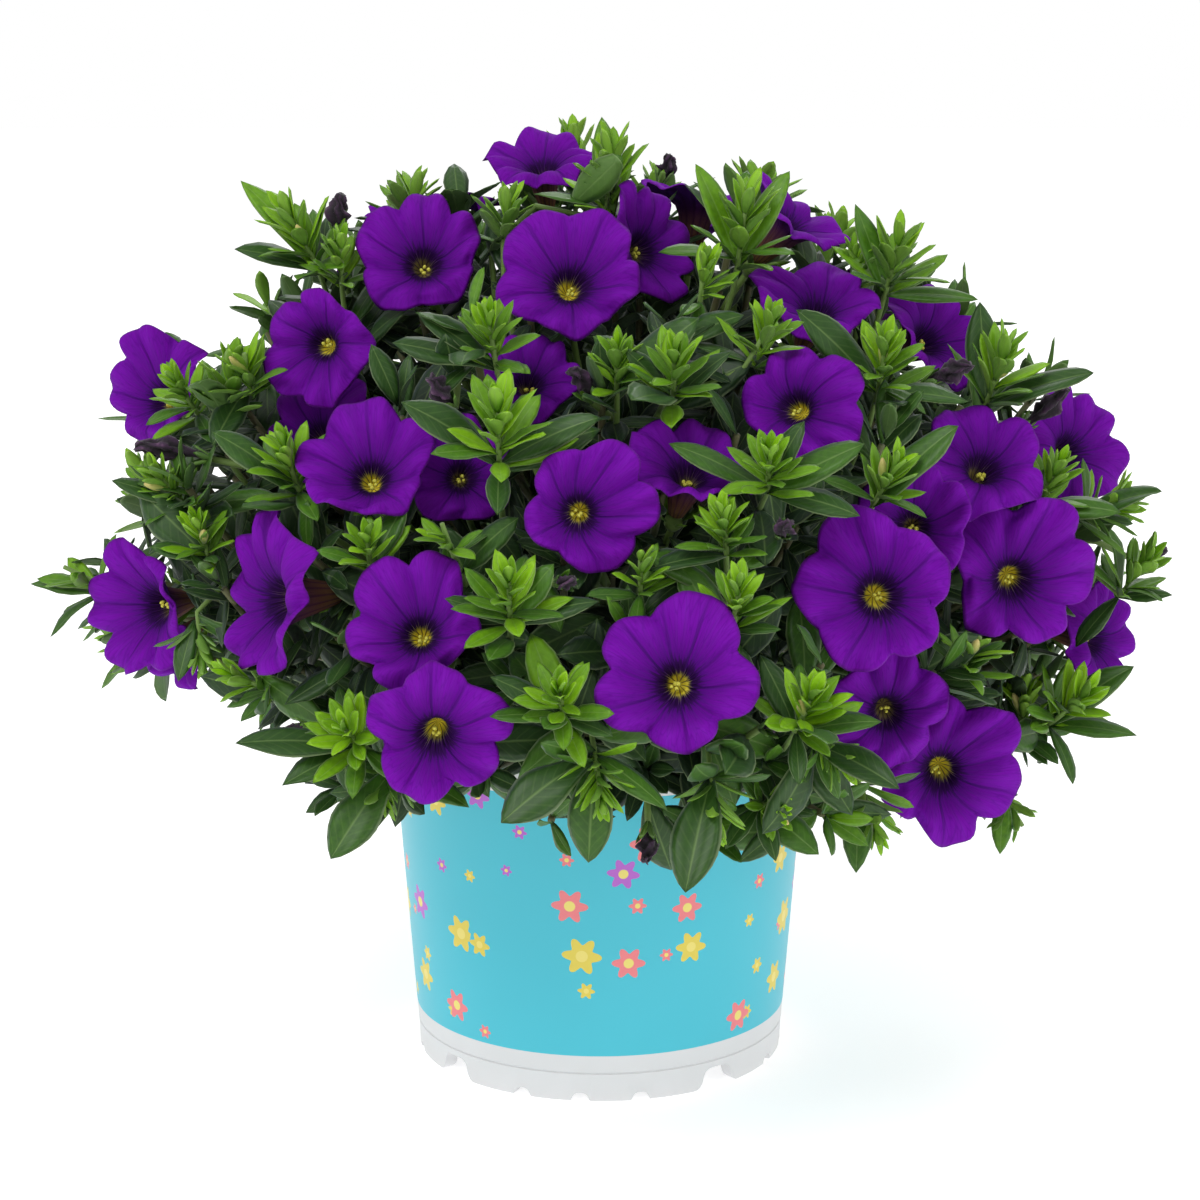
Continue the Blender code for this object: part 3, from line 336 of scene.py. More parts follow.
def sight_line(across, down):
    """The direction from the eye to a point of the photograph."""
    right = (across - FRAME_CENTRE_PIXEL) / FOCAL_PIXELS
    rise = (FRAME_CENTRE_PIXEL - down) / FOCAL_PIXELS
    return (FORWARD + SIDEWAYS * right + UPWARD * rise).normalized()


def meets_mound(line, sunk, height):
    """How far along a sight line the mound's near side lies, a paraboloid that bulges toward the viewer."""
    reach = [MOUND_REACH.x - sunk, MOUND_REACH.y - sunk, height - sunk]
    start = [(e - c) / r for e, c, r in zip(EYE, MOUND_CENTRE, reach)]
    step = [d / r for d, r in zip(line, reach)]
    a = step[0] ** 2 + step[2] ** 2
    b = start[0] * step[0] + start[2] * step[2] - step[1] / 2
    c = start[0] ** 2 + start[2] ** 2 - start[1] - 1
    return (-b - math.sqrt(max(0.0, b * b - a * c))) / a


def on_mound(across, down, sunk):
    """The point of the mound, sunk by so many millimetres, that shows at this place in the photograph."""
    line = sight_line(across, down)
    point = EYE + line * meets_mound(line, sunk * MM, MOUND_REACH.z)
    if point.z < MOUND_CENTRE.z:
        point = EYE + line * meets_mound(line, sunk * MM, MOUND_UNDER)
    return point


def mound_reach(rise):
    """The mound's half sizes above its centre or below it."""
    return MOUND_REACH.x, MOUND_REACH.y, MOUND_REACH.z if rise > 0 else MOUND_UNDER


def outward(point):
    """The mound's own direction outwards at a point."""
    offset = point - MOUND_CENTRE
    return Vector([o / (r * r) for o, r in zip(offset, mound_reach(offset.z))]).normalized()


def facing(turn, tilt):
    """The way a flower looks."""
    turn, tilt = math.radians(turn), math.radians(tilt)
    return Vector((math.sin(turn) * math.cos(tilt), -math.cos(turn) * math.cos(tilt), math.sin(tilt)))


def leaning(lean, toward):
    """The way a shoot grows."""
    lean, toward = math.radians(lean), math.radians(toward)
    return Vector((math.sin(lean) * math.cos(toward), -math.sin(toward), math.cos(lean) * math.cos(toward)))


def even_directions(count, lowest):
    """Directions spread evenly over the dome, from straight up down to the lowest height."""
    for i in range(count):
        z = 1 - (1 - lowest) * (i + 0.5) / count
        flat = math.sqrt(1 - z * z)
        yield Vector((flat * math.cos(i * GOLDEN_ANGLE), flat * math.sin(i * GOLDEN_ANGLE), z))


def far_points(count, total, lowest, first_turn):
    """Points of the mound on the side away from the eye."""
    found = []
    for direction in even_directions(total, lowest):
        way = Quaternion(UP, first_turn) @ direction
        if way.y > FAR_EDGE + FAR_SLOPE * abs(way.x):
            height = FAR_REACH.z if way.z > 0 else MOUND_UNDER
            found.append(MOUND_CENTRE + Vector((way.x * FAR_REACH.x, way.y * FAR_REACH.y, way.z * height)))
    return found[:count]


Flower = namedtuple("Flower", "place way width roll")
Tip = namedtuple("Tip", "place way leaf long_tips seed")
Faded = namedtuple("Faded", "place way length")


def nearer_and_further(piece):
    """The places that a piece may take: its own, and then nearer or further along the line of sight."""
    line = (piece.place - EYE).normalized()
    for depth in DEPTHS_TRIED:
        yield piece._replace(place=piece.place + line * depth * MM)


def all_flowers():
    """Every open flower: the place of its face's centre, the way it looks, its width and its roll."""
    flowers = []
    for i, b in enumerate(BLOOMS):
        place = on_mound(b.across, b.down, b.sunk)
        flowers.append(Flower(place, facing(b.turn, b.tilt), b.width * MM, i * 0.7))
    for i, place in enumerate(far_points(FAR_BLOOMS, *FAR_BLOOM_SPREAD)):
        draw = random.Random(FAR_BLOOM_SEED + i)
        way = (outward(place) + UP * draw.uniform(0.1, 0.5)).normalized()
        flowers.append(Flower(place, way, draw.uniform(*FAR_BLOOM_WIDTHS) * MM, i * 1.1))
    return flowers


def seen_tips(shoots, first_number):
    """The tips of the shoots in a table, with their long leaves' ends where the photograph shows them."""
    for i, s in enumerate(shoots):
        place = on_mound(s.across, s.down, s.sunk)
        away = (place - EYE).length - LONG_LEAF_NEARER
        ends = tuple(EYE + sight_line(*pixel) * away for pixel in s.long_tips)
        yield Tip(place, leaning(s.lean, s.toward), s.leaf * MM, ends, first_number + i)


def all_tips():
    """Every leafy shoot's tip: its place, the way it grows, its leaf length and its long leaves' ends."""
    tips = list(seen_tips(SHOOTS, 0))
    for i, place in enumerate(far_points(FAR_SHOOTS, *FAR_SHOOT_SPREAD)):
        draw = random.Random(FAR_SHOOT_SEED + i)
        way = (outward(place) * 0.8 + UP * draw.uniform(0.3, 0.8)).normalized()
        inner = place - outward(place) * FAR_SHOOT_SUNK * MM
        tips.append(Tip(inner, way, draw.uniform(*FAR_LEAF_LENGTHS) * MM, (), FAR_SHOOT_NUMBER + i))
    return tips


def all_faded():
    """Every spent flower: the place of its foot, the way it points and its length."""
    feet = [on_mound(s.across, s.down, s.sunk) for s in SPENT]
    return [Faded(foot, leaning(s.lean, s.toward), s.length * MM) for foot, s in zip(feet, SPENT)]


def bezier(a, b, c, count):
    """Evenly spaced points of the curve from a to c that is drawn toward b."""
    steps = [i / count for i in range(count + 1)]
    return [a * (1 - t) ** 2 + b * 2 * t * (1 - t) + c * t * t for t in steps]


def tapering(start, end, count):
    return [start + (end - start) * i / (count - 1) for i in range(count)]


def rings_along(path, radii, sides):
    """A ring of points round each point of a path, with no twist from one ring to the next."""
    rings = []
    side = (path[1] - path[0]).orthogonal()
    for i, point in enumerate(path):
        along = (path[min(i + 1, len(path) - 1)] - path[max(i - 1, 0)]).normalized()
        side = (side - along * side.dot(along)).normalized()
        other = along.cross(side)
        turns = [2 * math.pi * j / sides for j in range(sides)]
        rings.append([point + (side * math.cos(t) + other * math.sin(t)) * radii[i] for t in turns])
    return rings


def ring_points(flower, side, radius, height, sides, offset):
    """Points evenly round a flower's axis."""
    other = flower.way.cross(side)
    turns = [2 * math.pi * (j + offset) / sides for j in range(sides)]
    centre = flower.place + flower.way * height
    return [centre + (side * math.cos(t) + other * math.sin(t)) * radius for t in turns]


def flower_side(flower):
    return Quaternion(flower.way, flower.roll) @ flower.way.orthogonal().normalized()


def calyx_foot(flower):
    """Where a flower's stalk ends in its calyx."""
    return flower.place - flower.way * (flower.width * TUBE_LENGTH + GAP + CALYX_HEIGHT)


def spray_foot(direction):
    """Where a leafy stem stands in the potting mix."""
    flat = Vector((direction.x, direction.y, 0))
    nearest, spread = FOOT_RING
    return flat.normalized() * (nearest + spread * flat.length) + UP * STEM_FOOT


def trunk_path(direction):
    """A leafy stem's own path, from the potting mix to where its last branches leave it."""
    foot = spray_foot(direction)
    rise = direction.z * HUB_RISE + HUB_LIFT
    hub = CROWN + Vector((direction.x * HUB_REACH, direction.y * HUB_REACH, rise))
    top = Vector((foot.x, foot.y, SOIL_TOP + 6 * MM))
    return [foot] + bezier(top, top + (hub - top).length * 0.4 * UP, hub, 3)


def point_on(path, share):
    """The point of a path at a share of the way between its second point and its last."""
    reach = share * (len(path) - 2)
    i = min(int(reach), len(path) - 3)
    return path[1 + i].lerp(path[2 + i], reach - i)


def by_nearness(place, directions):
    """The stems, the one whose direction from the crown is nearest the piece's own first."""
    way = (place - CROWN).normalized()
    return sorted(range(len(directions)), key=lambda i: -directions[i].dot(way))


def branch_paths(start, place, way, count):
    """The ways that a branch may take to its end: straight in first, and then bowed to each side."""
    span = (place - start).length
    drawn = place - way * span * BRANCH_SAG
    side = (place - start).cross(way)
    side = side.normalized() if side.length > 1e-6 else UP.cross(way).normalized()
    for bow in BRANCH_BOWS:
        for rise in BRANCH_RISES:
            yield bezier(start, drawn + side * span * bow + UP * span * rise, place, count)


def opened(axis, out, angle):
    """The way that a leaf points when it opens by an angle from its axis, and the way that its face looks."""
    way = axis * math.cos(angle) + out * math.sin(angle)
    face = axis * math.sin(angle) - out * math.cos(angle)
    return way, face


def side_leaf_choices(tip, k):
    """The ways that leaf k of a shoot may lie: by its turn about the shoot, and then bent aside."""
    draw = random.Random(1000 * tip.seed + k)
    share = k / (SIDE_LEAVES + TOP_LEAVES - 1)
    turn = k * GOLDEN_ANGLE + tip.seed * 2.1
    spread = math.radians(76 - 52 * share + draw.uniform(-8, 8))
    length = tip.leaf * (1 - 0.32 * share) * draw.uniform(0.9, 1.08)
    root = tip.place + tip.way * tip.leaf * (0.4 * share - 0.1)
    side = tip.way.orthogonal().normalized()
    bend = math.radians(draw.uniform(12, 34))
    stations = ((0.36, 0.9), (0.7, 0.8)) if k < SIDE_LEAVES // 2 else ((0.5, 1.0),)
    for swing, lift in LEAF_SHIFTS:
        out = Quaternion(tip.way, turn + math.radians(swing)) @ side
        way, face = opened(tip.way, out, max(math.radians(14), spread + math.radians(lift)))
        yield root, way, face, length, length * 0.3, bend, stations


def long_leaf_choices(tip, k):
    """The ways that a long leaf may lie: to the end that shows in the photograph, then nearer or further."""
    end = tip.long_tips[k]
    root = tip.place - tip.way * 2 * MM
    for depth, lift in LONG_LEAF_SHIFTS:
        line = (end - EYE).normalized()
        reach = end + line * depth * MM + UP * lift * MM - root
        way = reach.normalized()
        face = (UP * 0.75 - line * 0.65).normalized()
        raised = (way + face * math.tan(LONG_LEAF_BEND / 2)).normalized()
        width = min(reach.length * 0.34, LONG_LEAF_WIDTH)
        yield root, raised, face, reach.length, width, LONG_LEAF_BEND, ((0.32, 0.85), (0.66, 0.9))


def inner_radius(height):
    """The pot's inside radius at a height, between its floor and its rim."""
    share = (height - SLEEVE_FOOT[1]) / (SLEEVE_HEAD[1] - SLEEVE_FOOT[1])
    return SLEEVE_FOOT[0] + share * (SLEEVE_HEAD[0] - SLEEVE_FOOT[0]) - WALL


def foot_cutter(turn, width, height, rounding, flare):
    """A bar across the foot ring at one turn about the axis. Its top is a curve between a box, for a rounding
    of 0, and half an ellipse, for a rounding of 1. It widens below by the flare, which rounds the foot's
    lower corners."""
    out = Vector((math.cos(turn), math.sin(turn), 0))
    across = UP.cross(out)
    power = 2 * rounding + 7 * (1 - rounding)
    half = (width - flare) / 2
    right = [(half + flare, -2 * MM)]
    for i in range(FLARE_CORNERS):
        angle = math.pi / 2 * i / FLARE_CORNERS
        right.append((half + flare * (1 - math.sin(angle)), flare * (1 - math.cos(angle))))
    for i in range(CUTTER_CORNERS + 1):
        angle = math.pi / 2 * i / CUTTER_CORNERS
        reach = (math.cos(angle) ** power + math.sin(angle) ** power) ** (-1 / power)
        corner = (half * reach * math.cos(angle), height * reach * math.sin(angle))
        if corner[1] > flare:
            right.append(corner)
    right[-1] = (0, height)
    corners = right + [(-w, h) for w, h in reversed(right[:-1])]
    rings = []
    for distance in (FOOT_INNER_RADIUS - 6 * MM, BAND_RADIUS + 6 * MM):
        rings.append([out * distance + across * w + UP * h for w, h in corners])
    bm = bmesh.new()
    grow_stem(bm, rings)
    return bm


def post(centre, radius, low, high, sides):
    """An upright cutter for a hole."""
    bm = bmesh.new()
    path = [Vector((*centre, low)), Vector((*centre, high))]
    grow_stem(bm, rings_along(path, [radius, radius], sides))
    return bm


def grow_stem(bm, rings):
    """A closed stem, extruded from the first ring of points through the others, with its end face."""
    end = bm.faces.new([bm.verts.new(point) for point in rings[0]])
    grown = bmesh.ops.extrude_face_region(bm, geom=[end], use_keep_orig=True)["geom"]
    end = next(piece for piece in grown if isinstance(piece, bmesh.types.BMFace))
    move(end, rings[1])
    for ring in rings[2:]:
        end = bmesh.ops.extrude_discrete_faces(bm, faces=[end])["faces"][0]
        move(end, ring)
    return end


def move(face, points):
    for vert, point in zip(face.verts, points):
        vert.co = point


# The edge of the leaves in the photograph, from the left tip round over the top. No added leaf reaches
# past it
LEAF_EDGE = (
    (28, 576), (90, 540), (125, 525), (108, 478), (130, 455), (95, 425), (95, 345), (150, 325),
    (205, 345), (232, 330), (255, 345), (258, 300), (300, 285), (262, 265), (232, 248), (240, 178),
    (322, 162), (345, 200), (400, 168), (452, 158), (492, 205), (490, 150), (560, 115), (600, 103),
    (675, 130), (668, 165), (700, 160), (740, 155), (790, 168), (855, 205), (945, 212), (985, 290),
    (1010, 315), (1095, 345), (1135, 430), (1130, 470), (1160, 492), (1175, 590), (1152, 690), (1140, 738),
    (1080, 735), (1050, 770), (1035, 830), (1000, 858), (900, 850), (860, 880), (770, 865), (688, 895),
    (640, 850), (590, 868), (505, 825), (440, 808), (330, 862), (282, 788), (236, 742), (250, 690),
    (190, 680), (100, 690), (75, 650),
)

# Shoots of the front that only the scene has
FRONT_SHOOTS = [Shoot(*row) for row in (
    (1008, 800, 150, 10, 12, 12, ((1000, 855),)),
    (640, 590, 0, 25, 13, 12, ((585, 595),)),
    (545, 430, 0, 25, 13, 14),
    (997, 512, 2, 28, 12, 5),
    (858, 285, -8, 8, 12, 6),
    (341, 280, 3, 20, 14, 4, ((428, 293),)),
    (503, 238, 8, 0, 15, 7),
    (701, 296, 5, 25, 14, 4),
    (617, 386, 0, 22, 14, 5, ((560, 372),)),
    (903, 338, 12, 20, 15, 4),
    (370, 568, 0, 32, 15, 6),
    (452, 552, -15, 30, 14, 4),
    (965, 668, 20, 20, 15, 8, ((1003, 640),)),
)]


def leaf_corners(root, way, face, length, width, bend, stations):
    """The corners of a leaf's solid: at each station its two edges and its keel, and then its tip."""
    side = way.cross(face).normalized()
    face = side.cross(way).normalized()

    def middle(t):
        turn = bend * t
        along, drop = math.sin(turn) / bend, (1 - math.cos(turn)) / bend
        return root + (way * along - face * drop) * length, face * math.cos(turn) + way * math.sin(turn)

    corners = []
    for t, share in stations:
        point, above = middle(t)
        half = width / 2 * share
        lift = above * half * EDGE_RAISE
        corners += [point - side * half + lift, point + side * half + lift]
        corners.append(point - above * BLADE_THICKNESS * 0.8)
    return corners + [middle(1)[0]]


class Corners:
    """The corners of a node's solid, to tell which of several places a piece took."""

    def __init__(self, node):
        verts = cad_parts[node].data.vertices
        self.tree = KDTree(len(verts))
        for i, vert in enumerate(verts):
            self.tree.insert(vert.co, i)
        self.tree.balance()

    def share(self, points):
        """The share of these points that the solid has a corner at."""
        return sum(self.tree.find(point)[2] < SAME_PLACE for point in points) / len(points)

    def ring_at(self, centre, radius):
        """True if the solid has corners at this distance round a point."""
        found = self.tree.find_range(centre, radius + SAME_PLACE)
        return sum(distance > radius - SAME_PLACE for _, _, distance in found) >= 3


Leaf = namedtuple("Leaf", "root way face length width bend age")
GrownShoot = namedtuple("GrownShoot", "tip owner path leaves")
Plant = namedtuple("Plant", "flowers directions trunks stalks shoots faded")


def read_flower(number, first_choice):
    """The place that a flower's solid has."""
    corners = Corners(f"flower_{number:02d}")
    for flower in nearer_and_further(first_choice):
        depth = flower.width * TUBE_LENGTH
        foot = ring_points(flower, flower_side(flower), TUBE_FOOT_RADIUS, -depth, LOBES, 0.5)
        if corners.share(foot + [flower.place - flower.way * depth * FUNNEL_FLOOR]) > SAME_SHAPE:
            return flower
    raise RuntimeError(f"flower {number} isn't where the table puts it")


class Reader:
    """Finds the branches and leaves that the stems' solids have."""

    def __init__(self):
        self.directions = list(even_directions(SPRAY_COUNT, LOWEST_SPRAY))
        self.trunks = [trunk_path(direction) for direction in self.directions]
        self.corners = [Corners(f"spray_{i + 1:02d}") for i in range(SPRAY_COUNT)]
        self.started = [0] * SPRAY_COUNT

    def branch(self, place, way, radii, more=(), sides=STEM_SIDES):
        """The number of the stem that a branch leaves, and its path."""
        best, found = SAME_BRANCH, None
        end = more[-1] if more else place
        for owner in by_nearness(place, self.directions)[:NEAREST_STEMS]:
            if not self.corners[owner].ring_at(end, radii[-1]):
                continue
            start = point_on(self.trunks[owner], 1 - 0.5 * (self.started[owner] * 0.618 % 1))
            for path in branch_paths(start, place, way, len(radii) - 1 - len(more)):
                path = path + list(more)
                rings = rings_along(path, radii, sides)
                share = self.corners[owner].share([point for ring in rings[1:] for point in ring])
                if share > best:
                    best, found = share, (owner, path)
        if found:
            self.started[found[0]] += 1
        return found

    def standing(self, first_choices, shares, radii):
        """The pieces that stand at branches' ends, where the solids have them, each with its stem and branch.
        The branch's last points lie at these shares of the piece's leaf or length."""
        for first_choice in first_choices:
            for piece in nearer_and_further(first_choice):
                place, way, length = piece[:3]
                foot, *more = [place + way * length * share for share in shares]
                found = self.branch(foot, way, radii, more)
                if found:
                    yield (piece, *found)
                    break

    def leaves(self, owner, tip):
        """The leaves of a shoot, the long lower ones first."""
        choices = [(0.62, long_leaf_choices(tip, k)) for k in range(len(tip.long_tips))]
        choices += [(0.5 - 0.09 * k, side_leaf_choices(tip, k)) for k in range(SIDE_LEAVES + TOP_LEAVES)]
        for age, shapes in choices:
            for shape in shapes:
                if self.corners[owner].share(leaf_corners(*shape)) > SAME_SHAPE:
                    yield Leaf(*shape[:6], age)
                    break


@lru_cache(maxsize=1)
def read_plant():
    """The whole plant as its solids have it: every flower, stem, branch and leaf."""
    reader = Reader()
    flowers = [read_flower(i + 1, first_choice) for i, first_choice in enumerate(all_flowers())]
    stalk_radii = tapering(STALK_RADIUS, STALK_RADIUS * 0.9, 3)
    stalks = [reader.branch(calyx_foot(f), f.way, stalk_radii, sides=LOBES) for f in flowers]
    branch_radii = tapering(BRANCH_RADIUS, STALK_RADIUS, 5)
    found = list(reader.standing(all_tips(), (-0.1, 0.12, 0.34), branch_radii))
    faded = list(reader.standing(all_faded(), (0, 0.3, 0.75, 1), SPENT_RADII))
    shoots = [GrownShoot(tip, owner, path, list(reader.leaves(owner, tip))) for tip, owner, path in found]
    return Plant(flowers, reader.directions, reader.trunks, stalks, shoots, faded)


# Forms: small closed meshes that are copied, and then drawn into shape by a formula


class Form:
    """A mesh that is copied many times, with its corners as an array."""

    def __init__(self, name, shape, finish=0, inside_out=False):
        bm = bmesh.new()
        shape(bm)
        bmesh.ops.recalc_face_normals(bm, faces=bm.faces)
        if inside_out:
            bmesh.ops.reverse_faces(bm, faces=bm.faces)
        for face in bm.faces:
            face.smooth = True
            face.material_index = finish
        self.mesh = bpy.data.meshes.new(name)
        bm.to_mesh(self.mesh)
        bm.free()
        flat = np.zeros(len(self.mesh.vertices) * 3)
        self.mesh.vertices.foreach_get("co", flat)
        self.points = flat.reshape(-1, 3)


def blade_form(across, along):
    """A leaf of two sheets that meet at the edge. x runs across from -1 to 1, y from the stalk to the tip."""

    def shape(bm):
        bmesh.ops.create_grid(bm, x_segments=across, y_segments=along, size=1)
        for vert in bm.verts:
            vert.co.y = 1 - ((1 - vert.co.y) / 2) ** 1.2
        upper = list(bm.faces)
        lower = bmesh.ops.duplicate(bm, geom=upper)["geom"]
        lower = [piece for piece in lower if isinstance(piece, bmesh.types.BMFace)]
        for faces, height in ((upper, 1), (lower, -1)):
            for vert in {vert for face in faces for vert in face.verts}:
                inside = abs(vert.co.x) < 0.999 and 0.001 < vert.co.y < 0.999
                vert.co.z = height if inside else 0
        bmesh.ops.remove_doubles(bm, verts=bm.verts, dist=0.001)
        tip = [vert for vert in bm.verts if vert.co.y > 0.999]
        bmesh.ops.pointmerge(bm, verts=tip, merge_co=(0, 1, 0))

    return shape


def tube_form(sides, rings):
    """A closed tube round the z axis, from 0 to 1."""

    def shape(bm):
        turns = [2 * math.pi * j / sides for j in range(sides)]
        heights = [i / rings for i in range(rings + 1)]
        grow_stem(bm, [[Vector((math.cos(t), math.sin(t), z)) for t in turns] for z in heights])
        ends = [face for face in bm.faces if len(face.verts) == sides]
        bmesh.ops.poke(bm, faces=ends)

    return shape


def shell_form(turns, inner, outer):
    """A corolla as a turned shell. z runs from 0 at the funnel's floor over 1 at the rim to 2 at the foot."""

    def shape(bm):
        heights = [i / inner for i in range(inner + 1)] + [1 + i / outer for i in range(1, outer + 1)]
        verts = [bm.verts.new((min(z, 2 - z), 0, z)) for z in heights]
        edges = [bm.edges.new(pair) for pair in zip(verts, verts[1:])]
        bmesh.ops.spin(bm, geom=verts + edges, axis=UP, steps=turns, angle=2 * math.pi, use_merge=True)
        bmesh.ops.remove_doubles(bm, verts=bm.verts, dist=1e-5)

    return shape


def bead_form(bm):
    bmesh.ops.create_uvsphere(bm, u_segments=8, v_segments=6, radius=1)


class Growth:
    """The parts of one piece: each a form, its corners' places and the values that its material reads."""

    def __init__(self):
        self.parts = []

    def add(self, form, points, pattern, age, chance):
        self.parts.append((form, points, pattern, np.tile((age, chance, 0.0), (len(points), 1))))

    def piece(self, name, finishes, slot, nodes):
        """One mesh object of all the parts, riding on the plant."""
        copied, points, patterns, tints = zip(*self.parts)
        bm = bmesh.new()
        for form in copied:
            bm.from_mesh(form.mesh)
        mesh = bpy.data.meshes.new(name)
        bm.to_mesh(mesh)
        bm.free()
        mesh.vertices.foreach_set("co", np.concatenate(points).astype(np.float32).ravel())
        for title, values in (("pattern", patterns), ("tint", tints)):
            layer = mesh.attributes.new(title, "FLOAT_VECTOR", "POINT")
            layer.data.foreach_set("vector", np.concatenate(values).astype(np.float32).ravel())
        for finish in finishes:
            mesh.materials.append(finish)
        mesh.update()
        put(add_object(name, mesh), nodes)


def add_object(name, data):
    thing = bpy.data.objects.new(name, data)
    bpy.context.scene.collection.objects.link(thing)
    return thing


def put(thing, nodes):
    """Makes an object part of the plant, in place of the nodes that it stands for."""
    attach(thing, "root")
    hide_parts(*nodes)


def smooth_step(low, high, value):
    t = np.clip((value - low) / (high - low), 0, 1)
    return t * t * (3 - 2 * t)


def leaf_points(form, leaf, draw, fold, blunt):
    """A leaf along its arc: folded a little at its midrib, with its edges waved and its tip drawn in."""
    x, y, z = form.points.T
    side = np.array(leaf.way.cross(leaf.face).normalized())
    way = np.array(leaf.way)
    face = np.cross(side, way)
    turn = leaf.bend * y
    arc_line = np.outer(np.sin(turn) / leaf.bend, way) - np.outer((1 - np.cos(turn)) / leaf.bend, face)
    middle = np.array(leaf.root) + leaf.length * arc_line
    above = np.outer(np.cos(turn), face) + np.outer(np.sin(turn), way)
    twist = draw.uniform(-0.35, 0.35) * y
    across = side * np.cos(twist)[:, None] + above * np.sin(twist)[:, None]
    above = above * np.cos(twist)[:, None] - side * np.sin(twist)[:, None]
    # A pointed leaf is widest near its middle, and a blunt one beyond it. Both narrow to a short stalk
    pointed = np.sin(math.pi * np.clip(y, 0, 1) ** 1.08) ** 0.9
    rounded = np.sin(math.pi * np.clip(y, 0, 1) ** 1.5) ** 0.7
    outline = pointed * (1 - blunt) + rounded * blunt + 0.16 * (1 - y) ** 4
    half = leaf.width / 2 * outline
    wave = draw.uniform(0.02, 0.07) * leaf.width
    wave = wave * np.sin(y * draw.uniform(7, 11) + np.sign(x) * draw.uniform(0, 3))
    lift = half * (fold * np.abs(x) - 0.25 * x ** 4) + wave * x ** 2
    # A furrow along the midrib above, and the blade's thickness with its rib below
    lift -= 0.10 * MM * np.exp(-(x / 0.3) ** 2)
    lift -= np.where(z < 0, (0.22 + 0.3 * np.exp(-(x / 0.3) ** 2)) * MM, 0)
    return middle + across * (x * half)[:, None] + above * lift[:, None]


def leaf_pattern(form):
    """Across a leaf, 0 at the midrib, 1 at the edge and 2 at the midrib underneath, and along it."""
    x, y, z = form.points.T
    across = np.where(z < 0, 2 - np.abs(x), np.abs(x))
    return np.column_stack((across, y, np.zeros(len(x))))


def resampled(path, count):
    """Evenly spaced points along a path, as an array."""
    points = np.array([tuple(point) for point in path])
    steps = np.linalg.norm(np.diff(points, axis=0), axis=1)
    reach = np.concatenate(([0], np.cumsum(steps)))
    stops = np.linspace(0, reach[-1], count)
    return np.column_stack([np.interp(stops, reach, points[:, axis]) for axis in range(3)])


def frames_along(points):
    """The two directions square to a path at each of its points, without twist."""
    along = np.gradient(points, axis=0)
    along /= np.linalg.norm(along, axis=1)[:, None]
    side = np.array(Vector(along[0]).orthogonal())
    sides = []
    for direction in along:
        side = side - direction * side.dot(direction)
        side = side / np.linalg.norm(side)
        sides.append(side)
    sides = np.array(sides)
    return sides, np.cross(along, sides)


def tube_points(form, rings, path, radii, folds=None):
    """A tube along a path, its radius running evenly through the given radii."""
    x, y, z = form.points.T
    stops = resampled(path, rings + 1)
    sides, others = frames_along(stops)
    ring = np.rint(z * rings).astype(int)
    radius = np.interp(z, np.linspace(0, 1, len(radii)), radii)
    if folds is not None:
        radius = radius * folds(np.arctan2(y, x), z)
    return stops[ring] + sides[ring] * (x * radius)[:, None] + others[ring] * (y * radius)[:, None]


def bent(path):
    """The smooth curve of a branch whose first three points lie on it evenly, and its straight end."""
    start, middle, end = path[:3]
    drawn = middle * 2 - (start + end) / 2
    return bezier(start, drawn, end, 10) + list(path[3:])


# A corolla's shell, from the floor of its funnel over its rim to the foot of its tube: the step along it, and
# the radius and height there as shares of half the flower's width
SHELL = (
    (0.00, 0.000, -0.70), (0.06, 0.060, -0.665), (0.12, 0.105, -0.585), (0.20, 0.145, -0.485),
    (0.28, 0.185, -0.405), (0.34, 0.225, -0.345), (0.40, 0.275, -0.293), (0.46, 0.335, -0.245),
    (0.54, 0.43, -0.185), (0.64, 0.56, -0.122), (0.76, 0.71, -0.066), (0.88, 0.86, -0.026),
    (0.95, 0.945, -0.016), (1.00, 1.00, -0.030),
    (1.06, 0.955, -0.040), (1.16, 0.80, -0.075), (1.28, 0.60, -0.145),
    (1.40, 0.45, -0.225), (1.50, 0.35, -0.315), (1.62, 0.265, -0.48), (1.75, 0.20, -0.75),
    (1.88, 0.130, -1.02), (1.96, 0.09, -1.14), (2.00, 0.0, -1.16),
)

# Where the throat of a flower shows in the photograph, by the flower's number
THROATS = {
    2: (425, 268), 3: (571, 289), 6: (820, 313), 8: (793, 410), 9: (325, 343), 10: (164, 403),
    11: (373, 483), 14: (575, 516), 16: (985, 470), 19: (160, 606), 21: (424, 642), 22: (434, 738),
    23: (677, 688), 24: (881, 598), 25: (1010, 583), 28: (937, 773),
}

# The flowers whose gold shows there. In the others the throat lies in shade
GOLD_THROATS = (3, 8, 9, 10, 11, 14, 21, 22, 23, 24, 25, 28)


def throat_shift(flower, number):
    """How far the throat lies off the limb's middle, as shares of half the width along side and other."""
    side = flower_side(flower)
    other = flower.way.cross(side)
    half = flower.width / 2
    if number in THROATS:
        line = sight_line(*THROATS[number])
        level = flower.place - flower.way * half * 0.3
        reach = (level - EYE).dot(flower.way) / line.dot(flower.way)
        shift = EYE + line * reach - level
    else:
        shift = -UP * half * 0.12
    shift = Vector((shift.dot(side), shift.dot(other))) / half
    return shift * min(1, 0.24 / max(shift.length, 1e-6))


